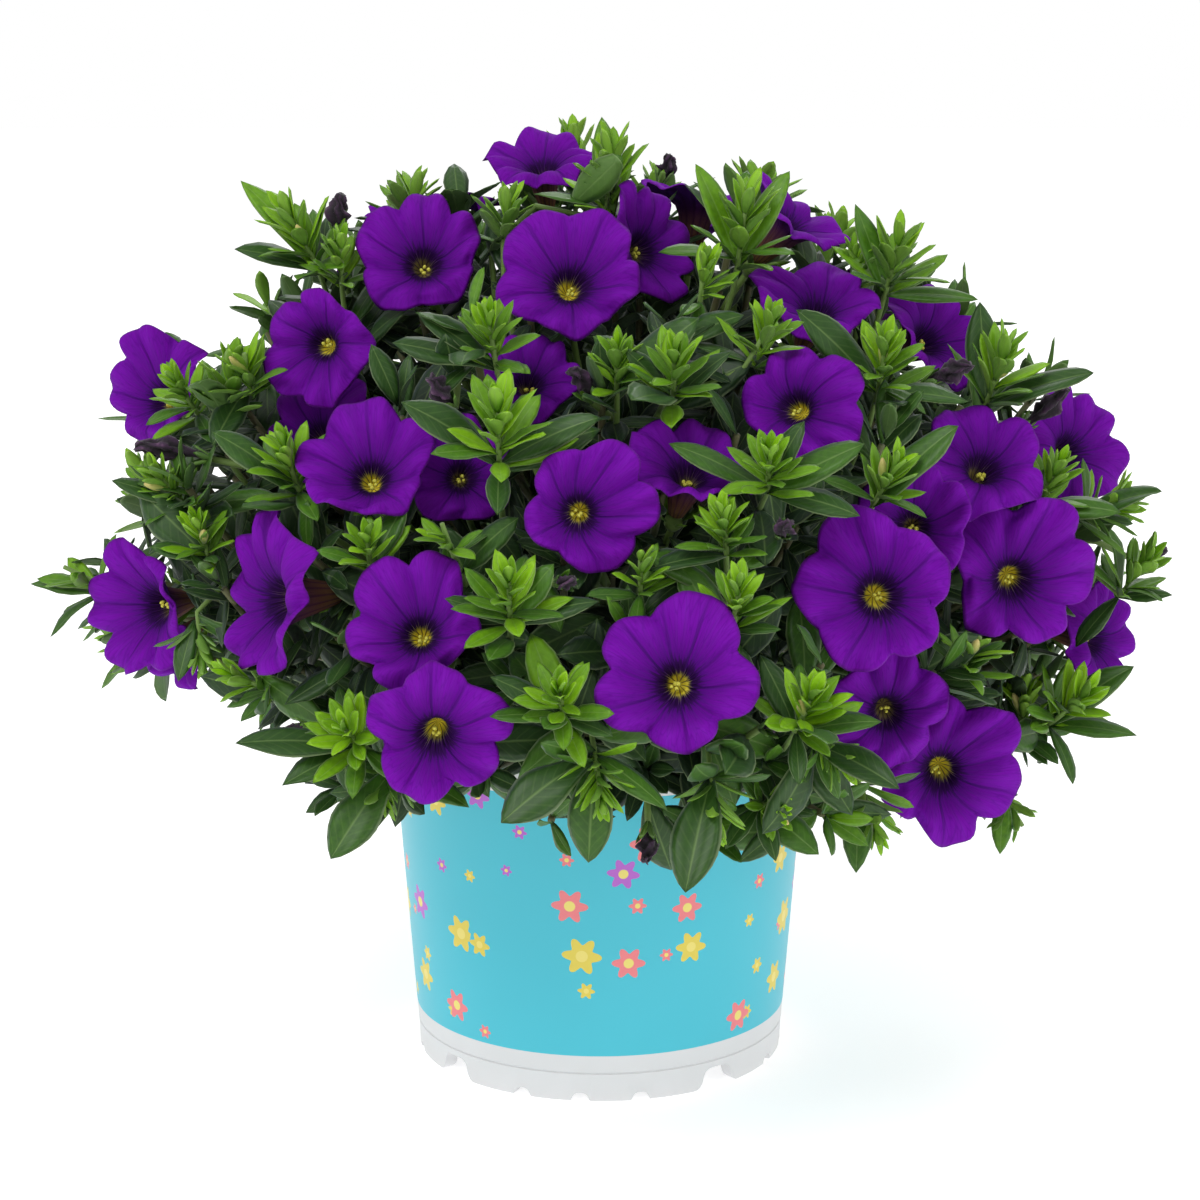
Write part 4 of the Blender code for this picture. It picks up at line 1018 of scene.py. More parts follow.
def corolla_points(form, flower, number, draw, ruffle):
    """An open flower's shell: five broad lobes that part at notches, each puffed on both sides of its midrib,
    with a waved rim, a funnel and a slim tube. It also gives the pattern's values and the middle of the
    throat."""
    x, y, s = form.points.T
    turn = np.arctan2(y, x)
    inner = s <= 1
    steps, radii, heights = np.array(SHELL).T
    radius = np.interp(s, steps, radii)
    height = np.interp(s, steps, heights)
    outer_part = smooth_step(0.5, 1.0, radius)
    limb = smooth_step(0.25, 0.9, radius)
    lobe_turn = turn + outer_part * 0.12 * np.sin(turn + draw.uniform(0, 6))
    lobe_turn = lobe_turn + outer_part * 0.09 * np.sin(2 * turn + draw.uniform(0, 6))
    notch = 0.5 + 0.5 * np.cos(LOBES * lobe_turn)
    parting = 1 - np.abs(np.sin(LOBES * lobe_turn / 2))
    point = 1 - np.abs(np.cos(LOBES * lobe_turn / 2))
    share = 1 - draw.uniform(0.16, 0.23) * parting ** 1.35 + draw.uniform(0.01, 0.07) * point ** 2.5
    share = radius * (1 + (share - 1) * outer_part)
    height = height - 0.05 * (1 - notch) * smooth_step(0.8, 1.0, radius)
    height = height - 0.15 * parting ** 2.5 * limb - 0.06 * (1 - notch) ** 16 * limb
    height = height + 0.075 * np.sin(LOBES * lobe_turn) ** 2 * limb
    waves = (0.06 * np.cos(2 * turn + draw.uniform(0, 6)) + 0.05 * np.cos(3 * turn + draw.uniform(0, 6))
             + 0.024 * np.cos(9 * turn + draw.uniform(0, 6)) + 0.012 * np.cos(17 * turn + draw.uniform(0, 6)))
    share = share * (1 + 0.012 * outer_part * np.cos(13 * turn + draw.uniform(0, 6)))
    height = height + ruffle * waves * smooth_step(0.45, 1.0, radius)
    for k in range(LOBES):
        middle = 2 * math.pi * (k + 0.5) / LOBES
        near = np.maximum(0, np.cos(turn - middle)) ** 5
        height = height + ruffle * draw.uniform(-0.28, 0.12) * near * smooth_step(0.5, 1.0, radius)
        share = share * (1 + draw.uniform(-0.11, 0.02) * near * outer_part)
    side = flower_side(flower)
    other = flower.way.cross(side)
    shift = throat_shift(flower, number)
    moved = (1 - smooth_step(0.2, 0.95, radius)) * np.clip(1 + height / 1.16, 0, 1)
    half = flower.width / 2
    flat = (share * np.cos(turn) + shift.x * moved, share * np.sin(turn) + shift.y * moved, height)
    basis = np.array([tuple(side), tuple(other), tuple(flower.way)])
    points = np.array(flower.place) + np.column_stack(flat) @ basis * half
    throat = flower.place + (side * shift.x + other * shift.y) * half * 0.8
    # The gold is set off centre: a little aside at random, and down toward the lower wall of the throat,
    # which paints light on the lower wall and shade on the upper one
    core = (1 - smooth_step(0.1, 0.36, radius)) * np.where(inner, 1, 0)
    aside = draw.uniform(-0.03, 0.03)
    # Down toward the side that faces the floor: painted light below and painted shade above
    across = draw.uniform(0.01, 0.045) * (-1 if other.z > 0 else 1)
    back = np.where(inner, 0, 1)
    pattern = (radius * np.cos(turn) - aside * core, radius * np.sin(turn) - across * core, back)
    return points, np.column_stack(pattern), throat


# What is added among the branches that the solids have


def solids_tree(nodes):
    """The faces of several nodes, to cast rays at."""
    corners, faces = [], []
    for node in nodes:
        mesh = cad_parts[node].data
        faces += [[i + len(corners) for i in face.vertices] for face in mesh.polygons]
        corners += [vert.co for vert in mesh.vertices]
    return BVHTree.FromPolygons(corners, faces)


def arc_point(leaf, share):
    """The point at a share of a leaf's length, along its arc."""
    side = leaf.way.cross(leaf.face).normalized()
    face = side.cross(leaf.way)
    turn = leaf.bend * share
    along, drop = math.sin(turn) / leaf.bend, (1 - math.cos(turn)) / leaf.bend
    return leaf.root + (leaf.way * along - face * drop) * leaf.length


def leaf_lines(leaf):
    """Lines over a leaf that stand for its blade: its midrib, its two edges and three lines across it."""
    side = leaf.way.cross(leaf.face).normalized() * leaf.width / 2
    rib = [arc_point(leaf, share) for share in (0, 0.3, 0.6, 0.85, 1)]
    left = [point + side * share for point, share in zip(rib, (0, 0.9, 1, 0.65, 0))]
    right = [point - side * share for point, share in zip(rib, (0, 0.9, 1, 0.65, 0))]
    return [rib, left, right] + [[left[k], right[k]] for k in (1, 2, 3)]


@lru_cache(maxsize=64)
def open_shell(number, ruffle):
    """The shell of an open flower, its pattern and the middle of its throat."""
    flower = read_plant().flowers[number - 1]
    return corolla_points(forms()["corolla"], flower, number, random.Random(COROLLA_SEED + number), ruffle)


class Flowers:
    """The open flowers, which the leaves stay clear of and the added leaves don't hide."""

    def __init__(self, ruffle):
        corners, faces = [], []
        for number in range(1, len(read_plant().flowers) + 1):
            points = open_shell(number, ruffle)[0]
            faces += [[i + len(corners) for i in face.vertices] for face in forms()["corolla"].mesh.polygons]
            corners += points.tolist()
        self.every = BVHTree.FromPolygons(corners, faces)
        self.front = solids_tree([f"flower_{i + 1:02d}" for i in range(len(BLOOMS))])

    def crosses(self, path):
        """True if a path runs through a flower."""
        for start, end in zip(path, path[1:]):
            step = end - start
            if self.every.ray_cast(start, step.normalized(), step.length)[0]:
                return True
        return False

    def hides(self, point):
        """True if a point lies close before a flower that the photograph shows."""
        return self.front.ray_cast(point, (point - EYE).normalized(), HIDING_DEPTH)[0] is not None

    def room_for(self, leaf, may_hide=False):
        """True if a leaf is clear of the flowers and the pot, hides no flower unless it may, and stays within
        the photograph's edge of the leaves and the solids' box."""
        ends = [arc_point(leaf, share) for share in (0.55, 1)]
        if not all(within_edge(point) and within_box(point) and clear_of_pot(point) for point in ends):
            return False
        return not self.cut_by(leaf) and (may_hide or not any(self.hides(point) for point in ends))

    def cut_by(self, leaf):
        """True if a leaf's blade passes through a flower."""
        return any(self.crosses(line) for line in leaf_lines(leaf))

    def fitted(self, leaf):
        """A leaf that the solids have, drawn in as far as the open flowers beside it need."""
        for length, width in LEAF_FITS:
            smaller = leaf._replace(length=leaf.length * length, width=leaf.width * width)
            if not self.cut_by(smaller):
                break
        return smaller


@lru_cache(maxsize=1)
def flowers_with(ruffle):
    return Flowers(ruffle)


def open_flowers():
    return flowers_with(bpy.context.scene.calibrachoa_flower.ruffle)


def within_box(point):
    """True if a point lies in the solids' box or close beside it."""
    low, high = CAD_BOX
    return all(a - BOX_EASE < c < b + BOX_EASE for a, c, b in zip(low, point, high))


def clear_of_pot(point):
    """True if a point lies outside the pot, or above its rim."""
    aside, above = POT_EASE
    return math.hypot(point.x, point.y) >= RIM_RADIUS + aside or point.z >= POT_HEIGHT + above


def seen_at(point):
    """Where a point shows in the photograph."""
    offset = point - EYE
    scale = FOCAL_PIXELS / offset.dot(FORWARD)
    return FRAME_CENTRE_PIXEL + offset.x * scale, FRAME_CENTRE_PIXEL - offset.dot(UPWARD) * scale


def within_edge(point):
    """True if a point shows inside the photograph's edge of the leaves."""
    across, down = seen_at(point)
    inside = False
    for (x1, y1), (x2, y2) in zip(LEAF_EDGE, LEAF_EDGE[1:] + LEAF_EDGE[:1]):
        if (y1 > down) != (y2 > down) and across < x1 + (down - y1) / (y2 - y1) * (x2 - x1):
            inside = not inside
    return inside


def age_and_depth_shade(point):
    """How old the leaves at a point are and how much painted shade they get: 0.2 at the plant's surface and 1
    deep inside it.
    """
    offset = point - MOUND_CENTRE
    out = math.sqrt(sum((o / r) ** 2 for o, r in zip(offset, mound_reach(offset.z))))
    return min(1, max(0.2, 0.25 + (1 - out) * 2.2))


def rosette(tip, count, opens, lengths, age, climb, draw):
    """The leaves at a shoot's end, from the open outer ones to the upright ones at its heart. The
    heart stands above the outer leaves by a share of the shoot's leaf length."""
    side = tip.way.orthogonal().normalized()
    first_turn = draw.uniform(0, 2 * math.pi)
    for k in range(count):
        share = k / (count - 1)
        out = Quaternion(tip.way, first_turn + k * GOLDEN_ANGLE) @ side
        open_angle = math.radians(opens[0] + (opens[1] - opens[0]) * share ** 0.8 + draw.uniform(-6, 8))
        length = tip.leaf * (lengths[0] + (lengths[1] - lengths[0]) * share) * draw.uniform(0.85, 1.1)
        root = tip.place + tip.way * tip.leaf * (climb * share - 0.15)
        way, face = opened(tip.way, out, open_angle)
        bend = math.radians(draw.uniform(4, 28))
        width = length * draw.uniform(0.27, 0.34) * (1 + 0.15 * share)
        yield Leaf(root, way, face, length, width, bend, max(0, age[0] + (age[1] - age[0]) * share))


def leaves_along(path, first, spacing, lengths, draw):
    """Leaves set round a branch from a share of its length on, which point out and a little forward."""
    stops = resampled(path, 40)
    reach = np.linalg.norm(np.diff(stops, axis=0), axis=1).sum()
    count = int(reach * (1 - first) / spacing)
    turn = draw.uniform(0, 2 * math.pi)
    for k in range(count):
        at = (first + (1 - first) * (k + 0.5) / count) * 38
        root = Vector(stops[int(at)])
        along = Vector(stops[int(at) + 1] - stops[int(at)]).normalized()
        turn += GOLDEN_ANGLE
        out = Quaternion(along, turn) @ along.orthogonal().normalized()
        way, face = opened(along, out, math.radians(draw.uniform(42, 72)))
        way = (way + UP * 0.25).normalized()
        face = (face + outward(root) + UP * 0.3).normalized()
        length = draw.uniform(*lengths)
        # Leaves deeper in the plant are older and darker with painted shade, both in one value
        age = min(1, age_and_depth_shade(root) + draw.uniform(-0.1, 0.15))
        width = length * draw.uniform(0.34, 0.45)
        yield Leaf(root, way, face, length, width, math.radians(draw.uniform(8, 34)), age)


def free_branch(tip, draw):
    """The number of the stem that a new branch leaves, and its path to a shoot's tip, clear of the flowers
    and before none of them."""
    plant = read_plant()
    flowers = open_flowers()
    end = tip.place + tip.way * tip.leaf * 0.3
    for owner in by_nearness(tip.place, plant.directions)[:NEAREST_STEMS]:
        start = point_on(plant.trunks[owner], draw.uniform(0.5, 1))
        for path in branch_paths(start, tip.place, tip.way, 4):
            path = bent(path) + [end]
            if not (flowers.crosses(path) or any(flowers.hides(point) for point in path[1:])):
                return owner, path
    return None


def filler_tips():
    """Shoots under the plant's surface, spread evenly over the dome, which close gaps between the others."""
    for i, direction in enumerate(even_directions(FILLER_SHOOTS, FILLER_LOWEST)):
        draw = random.Random(FILLER_SEED + i)
        reach = Vector([d * r for d, r in zip(direction, mound_reach(direction.z))])
        place = MOUND_CENTRE + reach * draw.uniform(*FILLER_REACH)
        way = (outward(place) * 0.7 + UP * draw.uniform(0.3, 0.9)).normalized()
        yield Tip(place, way, draw.uniform(16, 22) * MM, (), FILLER_NUMBER + i)


# Building the pieces


@lru_cache(maxsize=1)
def forms():
    return {
        "leaf": Form("leaf", blade_form(4, 6)),
        "broad": Form("broad leaf", blade_form(6, 10)),
        "sepal": Form("sepal", blade_form(2, 4)),
        "stem": Form("stem", tube_form(6, 8), 1),
        "trunk": Form("trunk", tube_form(10, 14), 1),
        "cup": Form("calyx", tube_form(10, 5), 1),
        "spent": Form("spent flower", tube_form(24, 16), 2),
        "bud": Form("bud", tube_form(8, 6), 3),
        "corolla": Form("corolla", shell_form(90, 20, 10), inside_out=True),
        "bead": Form("anther", bead_form, 1),
    }


def add_leaf(growth, leaf, kind, draw):
    """Short young leaves are blunt and widest beyond their middle, and long older ones more pointed, as are
    leaves given painted shade deep in the plant.
    """
    form = forms()[kind]
    blunt = min(0.6, max(0.3, 0.65 - 0.6 * leaf.age))
    if kind == "broad":
        blunt = 0.6 if leaf.way.z < HANGING else 0.25
    points = leaf_points(form, leaf, draw, fold=draw.uniform(0.1, 0.38), blunt=blunt)
    growth.add(form, points, leaf_pattern(form), leaf.age, draw.random())


def add_tube(growth, kind, rings, path, radii, age, draw):
    form = forms()[kind]
    growth.add(form, tube_points(form, rings, path, radii), form.points, age, draw.random())


def add_calyx(growth, flower, draw):
    """A flower's green cup with five narrow sepals, which stand clear of the tube."""
    foot = calyx_foot(flower)
    floor = flower.place - flower.way * (flower.width * TUBE_LENGTH + GAP)
    radii = [r * MM for r in (0.9, 1.5, 2.0, 2.3, 2.3, 2.1)]
    add_tube(growth, "cup", 5, [foot, floor], radii, 0.3, draw)
    side = flower_side(flower)
    for j in range(LOBES):
        out = Quaternion(flower.way, 2 * math.pi * (j + 0.5) / LOBES) @ side
        way, face = opened(flower.way, out, math.radians(draw.uniform(22, 38)))
        root = floor + out * 1.6 * MM - flower.way * 0.8 * MM
        length = math.hypot(SEPAL_REACH, SEPAL_HEIGHT) * draw.uniform(0.9, 1.1)
        add_leaf(growth, Leaf(root, way, face, length, 2.4 * MM, math.radians(24), 0.25), "sepal", draw)


def add_spent_flower(growth, faded, draw):
    """A closed, shrivelled flower: a twisted, folded cone with a frayed end, in its small calyx."""
    form = forms()["spent"]
    end = faded.place + faded.way * faded.length
    width = min(2.3 * MM, faded.length * 0.2)
    radii = [width * share for share in (0.3, 0.4, 0.42, 0.6, 0.95, 1.1, 0.75, 0.6, 0.45)]
    first_turn = draw.uniform(0, 6)
    twist = draw.choice((-1, 1)) * draw.uniform(2.0, 3.6)

    def folds(turn, along):
        depth = 0.6 * smooth_step(0.15, 0.6, along)
        spiral = np.cos(LOBES * (turn + first_turn + twist * along))
        crease = spiral * 0.65 + np.cos(3 * turn + 13 * along + first_turn) * 0.35
        return 1 + depth * (crease - 0.1)

    sway = faded.way.orthogonal() * faded.length * draw.uniform(-0.2, 0.2)
    path = bezier(faded.place, faded.place.lerp(end, 0.5) + sway, end, 6)
    points = tube_points(form, 16, path, radii, folds)
    crumple = [[noise.noise(Vector(point) * 450 + shift) for shift in CRUMPLE_SHIFTS] for point in points]
    points = points + np.array(crumple) * (0.9 * MM * smooth_step(0.25, 0.7, form.points[:, 2]))[:, None]
    x, y, z = form.points.T
    # How far a point stands out on a fold, from which the material paints shade in the folds and a highlight
    # on the ridges
    ridge = (folds(np.arctan2(y, x), z) - 1) / 0.6
    growth.add(form, points, np.column_stack((ridge, z, z)), 0.5, draw.random())
    for j in range(LOBES):
        out = Quaternion(faded.way, 2 * math.pi * j / LOBES) @ faded.way.orthogonal().normalized()
        way = (faded.way + out * 0.32).normalized()
        face = (faded.way * 0.32 - out).normalized()
        foot = faded.place - faded.way * MM
        add_leaf(growth, Leaf(foot, way, face, 7 * MM, 2 * MM, math.radians(10), 0.4), "sepal", draw)


def add_bud(growth, tip, draw):
    """A young flower bud between the leaves of a shoot."""
    side = Quaternion(tip.way, draw.uniform(0, 6)) @ tip.way.orthogonal().normalized()
    way = (tip.way + side * draw.uniform(0.3, 0.7)).normalized()
    foot = tip.place + tip.way * tip.leaf * 0.3
    path = [foot, foot + way * draw.uniform(6, 8) * MM]
    add_tube(growth, "bud", 6, path, [r * MM for r in (0.5, 0.8, 1.0, 1.15, 1.1, 0.8, 0.3)], 0.1, draw)


def heart_leaves(tip, draw, may_hide):
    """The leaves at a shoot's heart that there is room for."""
    leaves = rosette(
        tip, INNER_LEAVES, opens=(58, 5), lengths=(0.92, 0.46), age=(0.26, 0), climb=0.82, draw=draw)
    return [leaf for leaf in leaves if open_flowers().room_for(leaf, may_hide)]


def grow_shoot(growth, tip, path, leaves, heart, draw):
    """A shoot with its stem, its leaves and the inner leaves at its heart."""
    stem = list(path) + [tip.place + tip.way * tip.leaf * 0.64]
    add_tube(growth, "stem", 8, stem, tapering(BRANCH_RADIUS, 0.6 * MM, 5), 0.4, draw)
    for leaf in leaves:
        broad = leaf.length > BROAD_LEAF[0] or leaf.width > BROAD_LEAF[1]
        if broad and tip.place.z > HIGH_SHOOT:
            leaf = leaf._replace(age=0.36, width=leaf.width * 0.8)
        if broad and leaf.way.z < HANGING:
            leaf = leaf._replace(width=leaf.width * 1.25)
        add_leaf(growth, open_flowers().fitted(leaf), "broad" if broad else "leaf", draw)
    for leaf in heart:
        add_leaf(growth, leaf, "leaf", draw)
    if draw.random() < BUD_SHARE:
        add_bud(growth, tip, draw)


def grow_stems():
    """The leafy stems: each trunk with its branches, shoots, calyxes, spent flowers and all their leaves."""
    plant = read_plant()
    growths = [Growth() for _ in range(SPRAY_COUNT)]
    draw = random.Random(STEM_SEED)
    branches = []
    for owner, trunk in enumerate(plant.trunks):
        path = [trunk[0]] + bezier(trunk[1], (trunk[2] + trunk[3]) / 2, trunk[4], 10)
        add_tube(growths[owner], "trunk", 14, path, tapering(STEM_RADIUS, BRANCH_RADIUS, 6), 0.8, draw)
        branches.append((owner, path, BARE_TRUNK))
    for flower, (owner, path) in zip(plant.flowers, plant.stalks):
        add_tube(growths[owner], "stem", 8, bent(path), [STALK_RADIUS], 0.3, draw)
        add_calyx(growths[owner], flower, draw)
        branches.append((owner, bent(path), BARE_BRANCH))
    for shoot in plant.shoots:
        path = bent(shoot.path)
        heart = heart_leaves(shoot.tip, draw, may_hide=True)
        grow_shoot(growths[shoot.owner], shoot.tip, path, shoot.leaves, heart, draw)
        branches.append((shoot.owner, path, BARE_BRANCH))
    for faded, owner, path in plant.faded:
        stalk = bent(path[:3])
        add_tube(growths[owner], "stem", 8, stalk, [STALK_RADIUS], 0.5, draw)
        add_spent_flower(growths[owner], faded, draw)
        branches.append((owner, stalk, BARE_BRANCH))
    for tip in seen_tips(FRONT_SHOOTS, FRONT_SHOOT_NUMBER):
        found = free_branch(tip, draw)
        heart = heart_leaves(tip, draw, may_hide=False)
        if found and len(heart) >= FEWEST_LEAVES:
            leaves = [leaf for leaf in fresh_leaves(tip) if open_flowers().room_for(leaf)]
            grow_shoot(growths[found[0]], tip, found[1], leaves, heart, draw)
            branches.append((*found, BARE_BRANCH))
    for tip in filler_tips():
        found = free_branch(tip, draw)
        # Leaves deep in the plant are older and darker with painted shade
        old_and_shaded = age_and_depth_shade(tip.place)
        leaves = rosette(
            tip, FILLER_LEAVES, opens=(84, 14), lengths=(1.0, 0.7), age=(old_and_shaded + 0.2, old_and_shaded - 0.2), climb=0.6,
            draw=draw)
        leaves = [leaf for leaf in leaves if open_flowers().room_for(leaf)]
        if found and len(leaves) >= FEWEST_LEAVES:
            add_tube(growths[found[0]], "stem", 8, found[1], [BRANCH_RADIUS, STALK_RADIUS], 0.8, draw)
            for leaf in leaves:
                add_leaf(growths[found[0]], leaf, "leaf", draw)
            branches.append((*found, BARE_FILLER))
    for owner, path, first in branches:
        for leaf in leaves_along(path, first, LEAF_SPACING, STEM_LEAF_LENGTHS, draw):
            if open_flowers().room_for(leaf):
                add_leaf(growths[owner], leaf, "leaf", draw)
    return growths


def fresh_leaves(tip):
    """The outer leaves of a shoot, its long ones first."""
    for k in range(len(tip.long_tips)):
        yield Leaf(*next(long_leaf_choices(tip, k))[:6], 0.5)
    for k in range(SIDE_LEAVES + TOP_LEAVES):
        yield Leaf(*next(side_leaf_choices(tip, k))[:6], 0.45 - 0.08 * k)


def grow_flower(number, flower):
    """An open flower's corolla, with the anthers and the stigma in its throat."""
    draw = random.Random(ANTHER_SEED + number)
    growth = Growth()
    corolla = forms()["corolla"]
    points, pattern, throat = open_shell(number, bpy.context.scene.calibrachoa_flower.ruffle)
    gold = 1.0 if number in GOLD_THROATS or number > len(BLOOMS) else 0.25
    growth.add(corolla, points, pattern, gold, draw.random())
    bead = forms()["bead"]
    half = flower.width / 2
    side = flower_side(flower)
    for j in range(ANTHERS):
        out = Quaternion(flower.way, 2 * math.pi * j / ANTHERS + draw.uniform(-0.5, 0.5)) @ side
        reach = draw.uniform(0.5, 1.1) * MM
        centre = throat + out * reach - flower.way * half * draw.uniform(0.42, 0.48)
        size = draw.uniform(0.45, 0.6) * MM
        shape = bead.points * np.array((size, size * 1.3, size * 0.9))
        turn = np.array(Quaternion(flower.way, draw.uniform(0, 6)).to_matrix())
        growth.add(bead, np.array(centre) + shape @ turn.T, bead.points, 0, draw.random())
    return growth


# Materials


def linear(colour):
    """A colour written as sRGB hex, as linear red, green and blue."""
    parts = [int(colour[i:i + 2], 16) / 255 for i in (1, 3, 5)]
    return tuple(part / 12.92 if part <= 0.04045 else ((part + 0.055) / 1.055) ** 2.4 for part in parts)


def rgba(colour):
    return (*(linear(colour) if isinstance(colour, str) else colour), 1)


def add_node(tree, kind, sockets=None, stops=(), **settings):
    """Adds a node, gives it its settings, and fills its sockets with values, colours or links."""
    made = tree.nodes.new("ShaderNode" + kind)
    for name, value in settings.items():
        setattr(made, name, value)
    for name, value in (sockets or {}).items():
        if isinstance(value, bpy.types.Node):
            value = value.outputs[0]
        if isinstance(value, bpy.types.NodeSocket):
            tree.links.new(value, made.inputs[name])
        else:
            made.inputs[name].default_value = rgba(value) if isinstance(value, str) else value
    while stops and len(made.color_ramp.elements) < len(stops):
        made.color_ramp.elements.new(0.5)
    for element, (place, colour) in zip(made.color_ramp.elements if stops else (), stops):
        element.position = place
        element.color = rgba(colour)
    return made


def new_finish(name, **sockets):
    """A material, its shader, whose own sockets take what is the same all over, and what adds its nodes."""
    finish = bpy.data.materials.new(name)
    finish.use_nodes = True
    finish.node_tree.nodes.clear()
    add = partial(add_node, finish.node_tree)
    shader = add("BsdfPrincipled", {title.replace("_", " "): value for title, value in sockets.items()})
    add("OutputMaterial", {"Surface": shader})
    return finish, shader, add


def linked(finish, shader, colour, bump=None):
    """Gives a material's shader its colour and its relief."""
    links = finish.node_tree.links
    links.new(colour.outputs[0], shader.inputs["Base Color"])
    if bump:
        links.new(bump.outputs[0], shader.inputs["Normal"])
    return finish


def leaf_finish(look):
    """Downy leaf: a soft, matt surface with short pale hairs, which show along its edges and midrib. Young
    leaves are bright yellow-green and older ones dark, and leaves deep in the plant darker still with painted
    shade."""
    finish, shader, add = new_finish(
        "downy leaf", Roughness=0.45, Specular_IOR_Level=0.35, Sheen_Roughness=0.4,
        Sheen_Tint=rgba("#D8ECFF"))
    pattern = add("Attribute", attribute_name="pattern").outputs["Vector"]
    pattern = add("SeparateXYZ", {0: pattern})
    tint = add("Attribute", attribute_name="tint").outputs["Vector"]
    tint = add("SeparateXYZ", {0: tint})
    across, along = pattern.outputs[0], pattern.outputs[1]
    age, chance = tint.outputs[0], tint.outputs[1]
    place = add("TexCoord").outputs["Object"]
    aside = add("Math", {0: across, 1: 1}, operation="SUBTRACT")
    aside = add("Math", {0: aside}, operation="ABSOLUTE")
    aside = add("Math", {0: 1, 1: aside}, operation="SUBTRACT")
    # Patches a little over a millimetre wide, as the blade is never evenly green
    patches = add("TexNoise", {"Vector": place, "Scale": 700, "Detail": 2})
    # Darker with age and, deep in the plant, with painted shade
    shade = add("Math", {0: chance, 1: 0.3, 2: age}, operation="MULTIPLY_ADD")
    shade = add("Math", {0: patches, 1: 0.24, 2: shade}, operation="MULTIPLY_ADD")
    shade = add("Math", {0: shade, 1: 0.24}, operation="SUBTRACT", use_clamp=True)
    stops = ((0, look.young), (0.2, "#6C9E0E"), (0.42, "#457314"), (0.66, "#2E5218"), (1, look.old_and_shaded))
    colour = add("ValToRGB", {"Fac": shade}, stops=stops)
    # The midrib and the faint side veins, about 2 mm apart
    rib = add("MapRange", {0: aside, 1: 0.09, 2: 0.0, 4: 0.3})
    slant = add("Math", {0: aside, 1: 2.2}, operation="MULTIPLY")
    slant = add("Math", {0: along, 1: 9, 2: slant}, operation="MULTIPLY_ADD")
    veins = add("Math", {0: slant, 1: 2 * math.pi}, operation="MULTIPLY")
    veins = add("Math", {0: veins}, operation="COSINE")
    veins = add("MapRange", {0: veins, 1: 0.6, 2: 1, 4: 0.05})
    rib = add("Math", {0: rib, 1: veins}, operation="MAXIMUM")
    # Pale hairs along the edge
    rim = add("MapRange", {0: aside, 1: 0.88, 2: 0.98, 4: 0.5})
    # Paler underneath
    under = add("MapRange", {0: across, 1: 0.98, 2: 1.1, 4: 0.35})
    for share, shown in ((rib, "#93B266"), (rim, "#AEC48C"), (under, "#7F9C62")):
        colour = add("MixRGB", {0: share, 1: colour, 2: shown})
    bump = add("Bump", {"Height": rib, "Strength": 0.5, "Distance": 0.3 * MM}, invert=True)
    down = add("MapRange", {0: age, 1: 0.2, 2: 0.7, 3: 0.02, 4: 0.08})
    finish.node_tree.links.new(down.outputs[0], shader.inputs["Sheen Weight"])
    return linked(finish, shader, colour, bump)


def stem_finish():
    """Stem: green and downy, tinged brown low on the plant, where it turns woody."""
    finish, shader, add = new_finish("downy stem", Roughness=0.6, Sheen_Weight=0.2)
    tint = add("Attribute", attribute_name="tint").outputs["Vector"]
    tint = add("SeparateXYZ", {0: tint})
    place = add("TexCoord").outputs["Object"]
    patches = add("TexNoise", {"Vector": place, "Scale": 420, "Detail": 3})
    shade = add("Math", {0: patches, 1: 0.3, 2: tint.outputs[0]}, operation="MULTIPLY_ADD")
    stops = ((0.2, "#87A24C"), (0.5, "#6E8F3C"), (0.85, "#5A6B35"), (1, "#5B5334"))
    colour = add("ValToRGB", {"Fac": shade}, stops=stops)
    bump = add("Bump", {"Height": patches, "Strength": 0.4, "Distance": 0.2 * MM})
    return linked(finish, shader, colour, bump)


def spent_finish():
    """Withered petal: dry and aubergine, darkened in its folds with painted shade, and mauve on its ridges,
    partly its own paler colour and partly painted highlight.
    """
    finish, shader, add = new_finish("withered petal", Roughness=0.75, Sheen_Weight=0.2)
    pattern = add("Attribute", attribute_name="pattern").outputs["Vector"]
    pattern = add("SeparateXYZ", {0: pattern})
    place = add("TexCoord").outputs["Object"]
    patches = add("TexNoise", {"Vector": place, "Scale": 900, "Detail": 4})
    # Painted shade in the folds and a partly painted highlight on the ridges
    ridge = add("Math", {0: patches, 1: 1.4, 2: pattern.outputs[0]}, operation="MULTIPLY_ADD")
    stops = ((0, "#0C040C"), (0.4, "#1C0A1E"), (0.7, "#3A1A3E"), (1, "#6E4A6A"))
    ridge = add("MapRange", {0: ridge, 1: -0.3, 2: 1.9})
    colour = add("ValToRGB", {"Fac": ridge}, stops=stops)
    bump = add("Bump", {"Height": patches, "Strength": 0.7, "Distance": 0.4 * MM})
    return linked(finish, shader, colour, bump)


def bud_finish():
    """Young bud: pale yellow-green and downy."""
    finish, shader, add = new_finish("flower bud", Roughness=0.55, Sheen_Weight=0.25)
    pattern = add("Attribute", attribute_name="pattern").outputs["Vector"]
    pattern = add("SeparateXYZ", {0: pattern})
    stops = ((0, "#8FA84A"), (0.5, "#B9BE62"), (1, "#C9B86E"))
    colour = add("ValToRGB", {"Fac": pattern.outputs[2]}, stops=stops)
    return linked(finish, shader, colour)


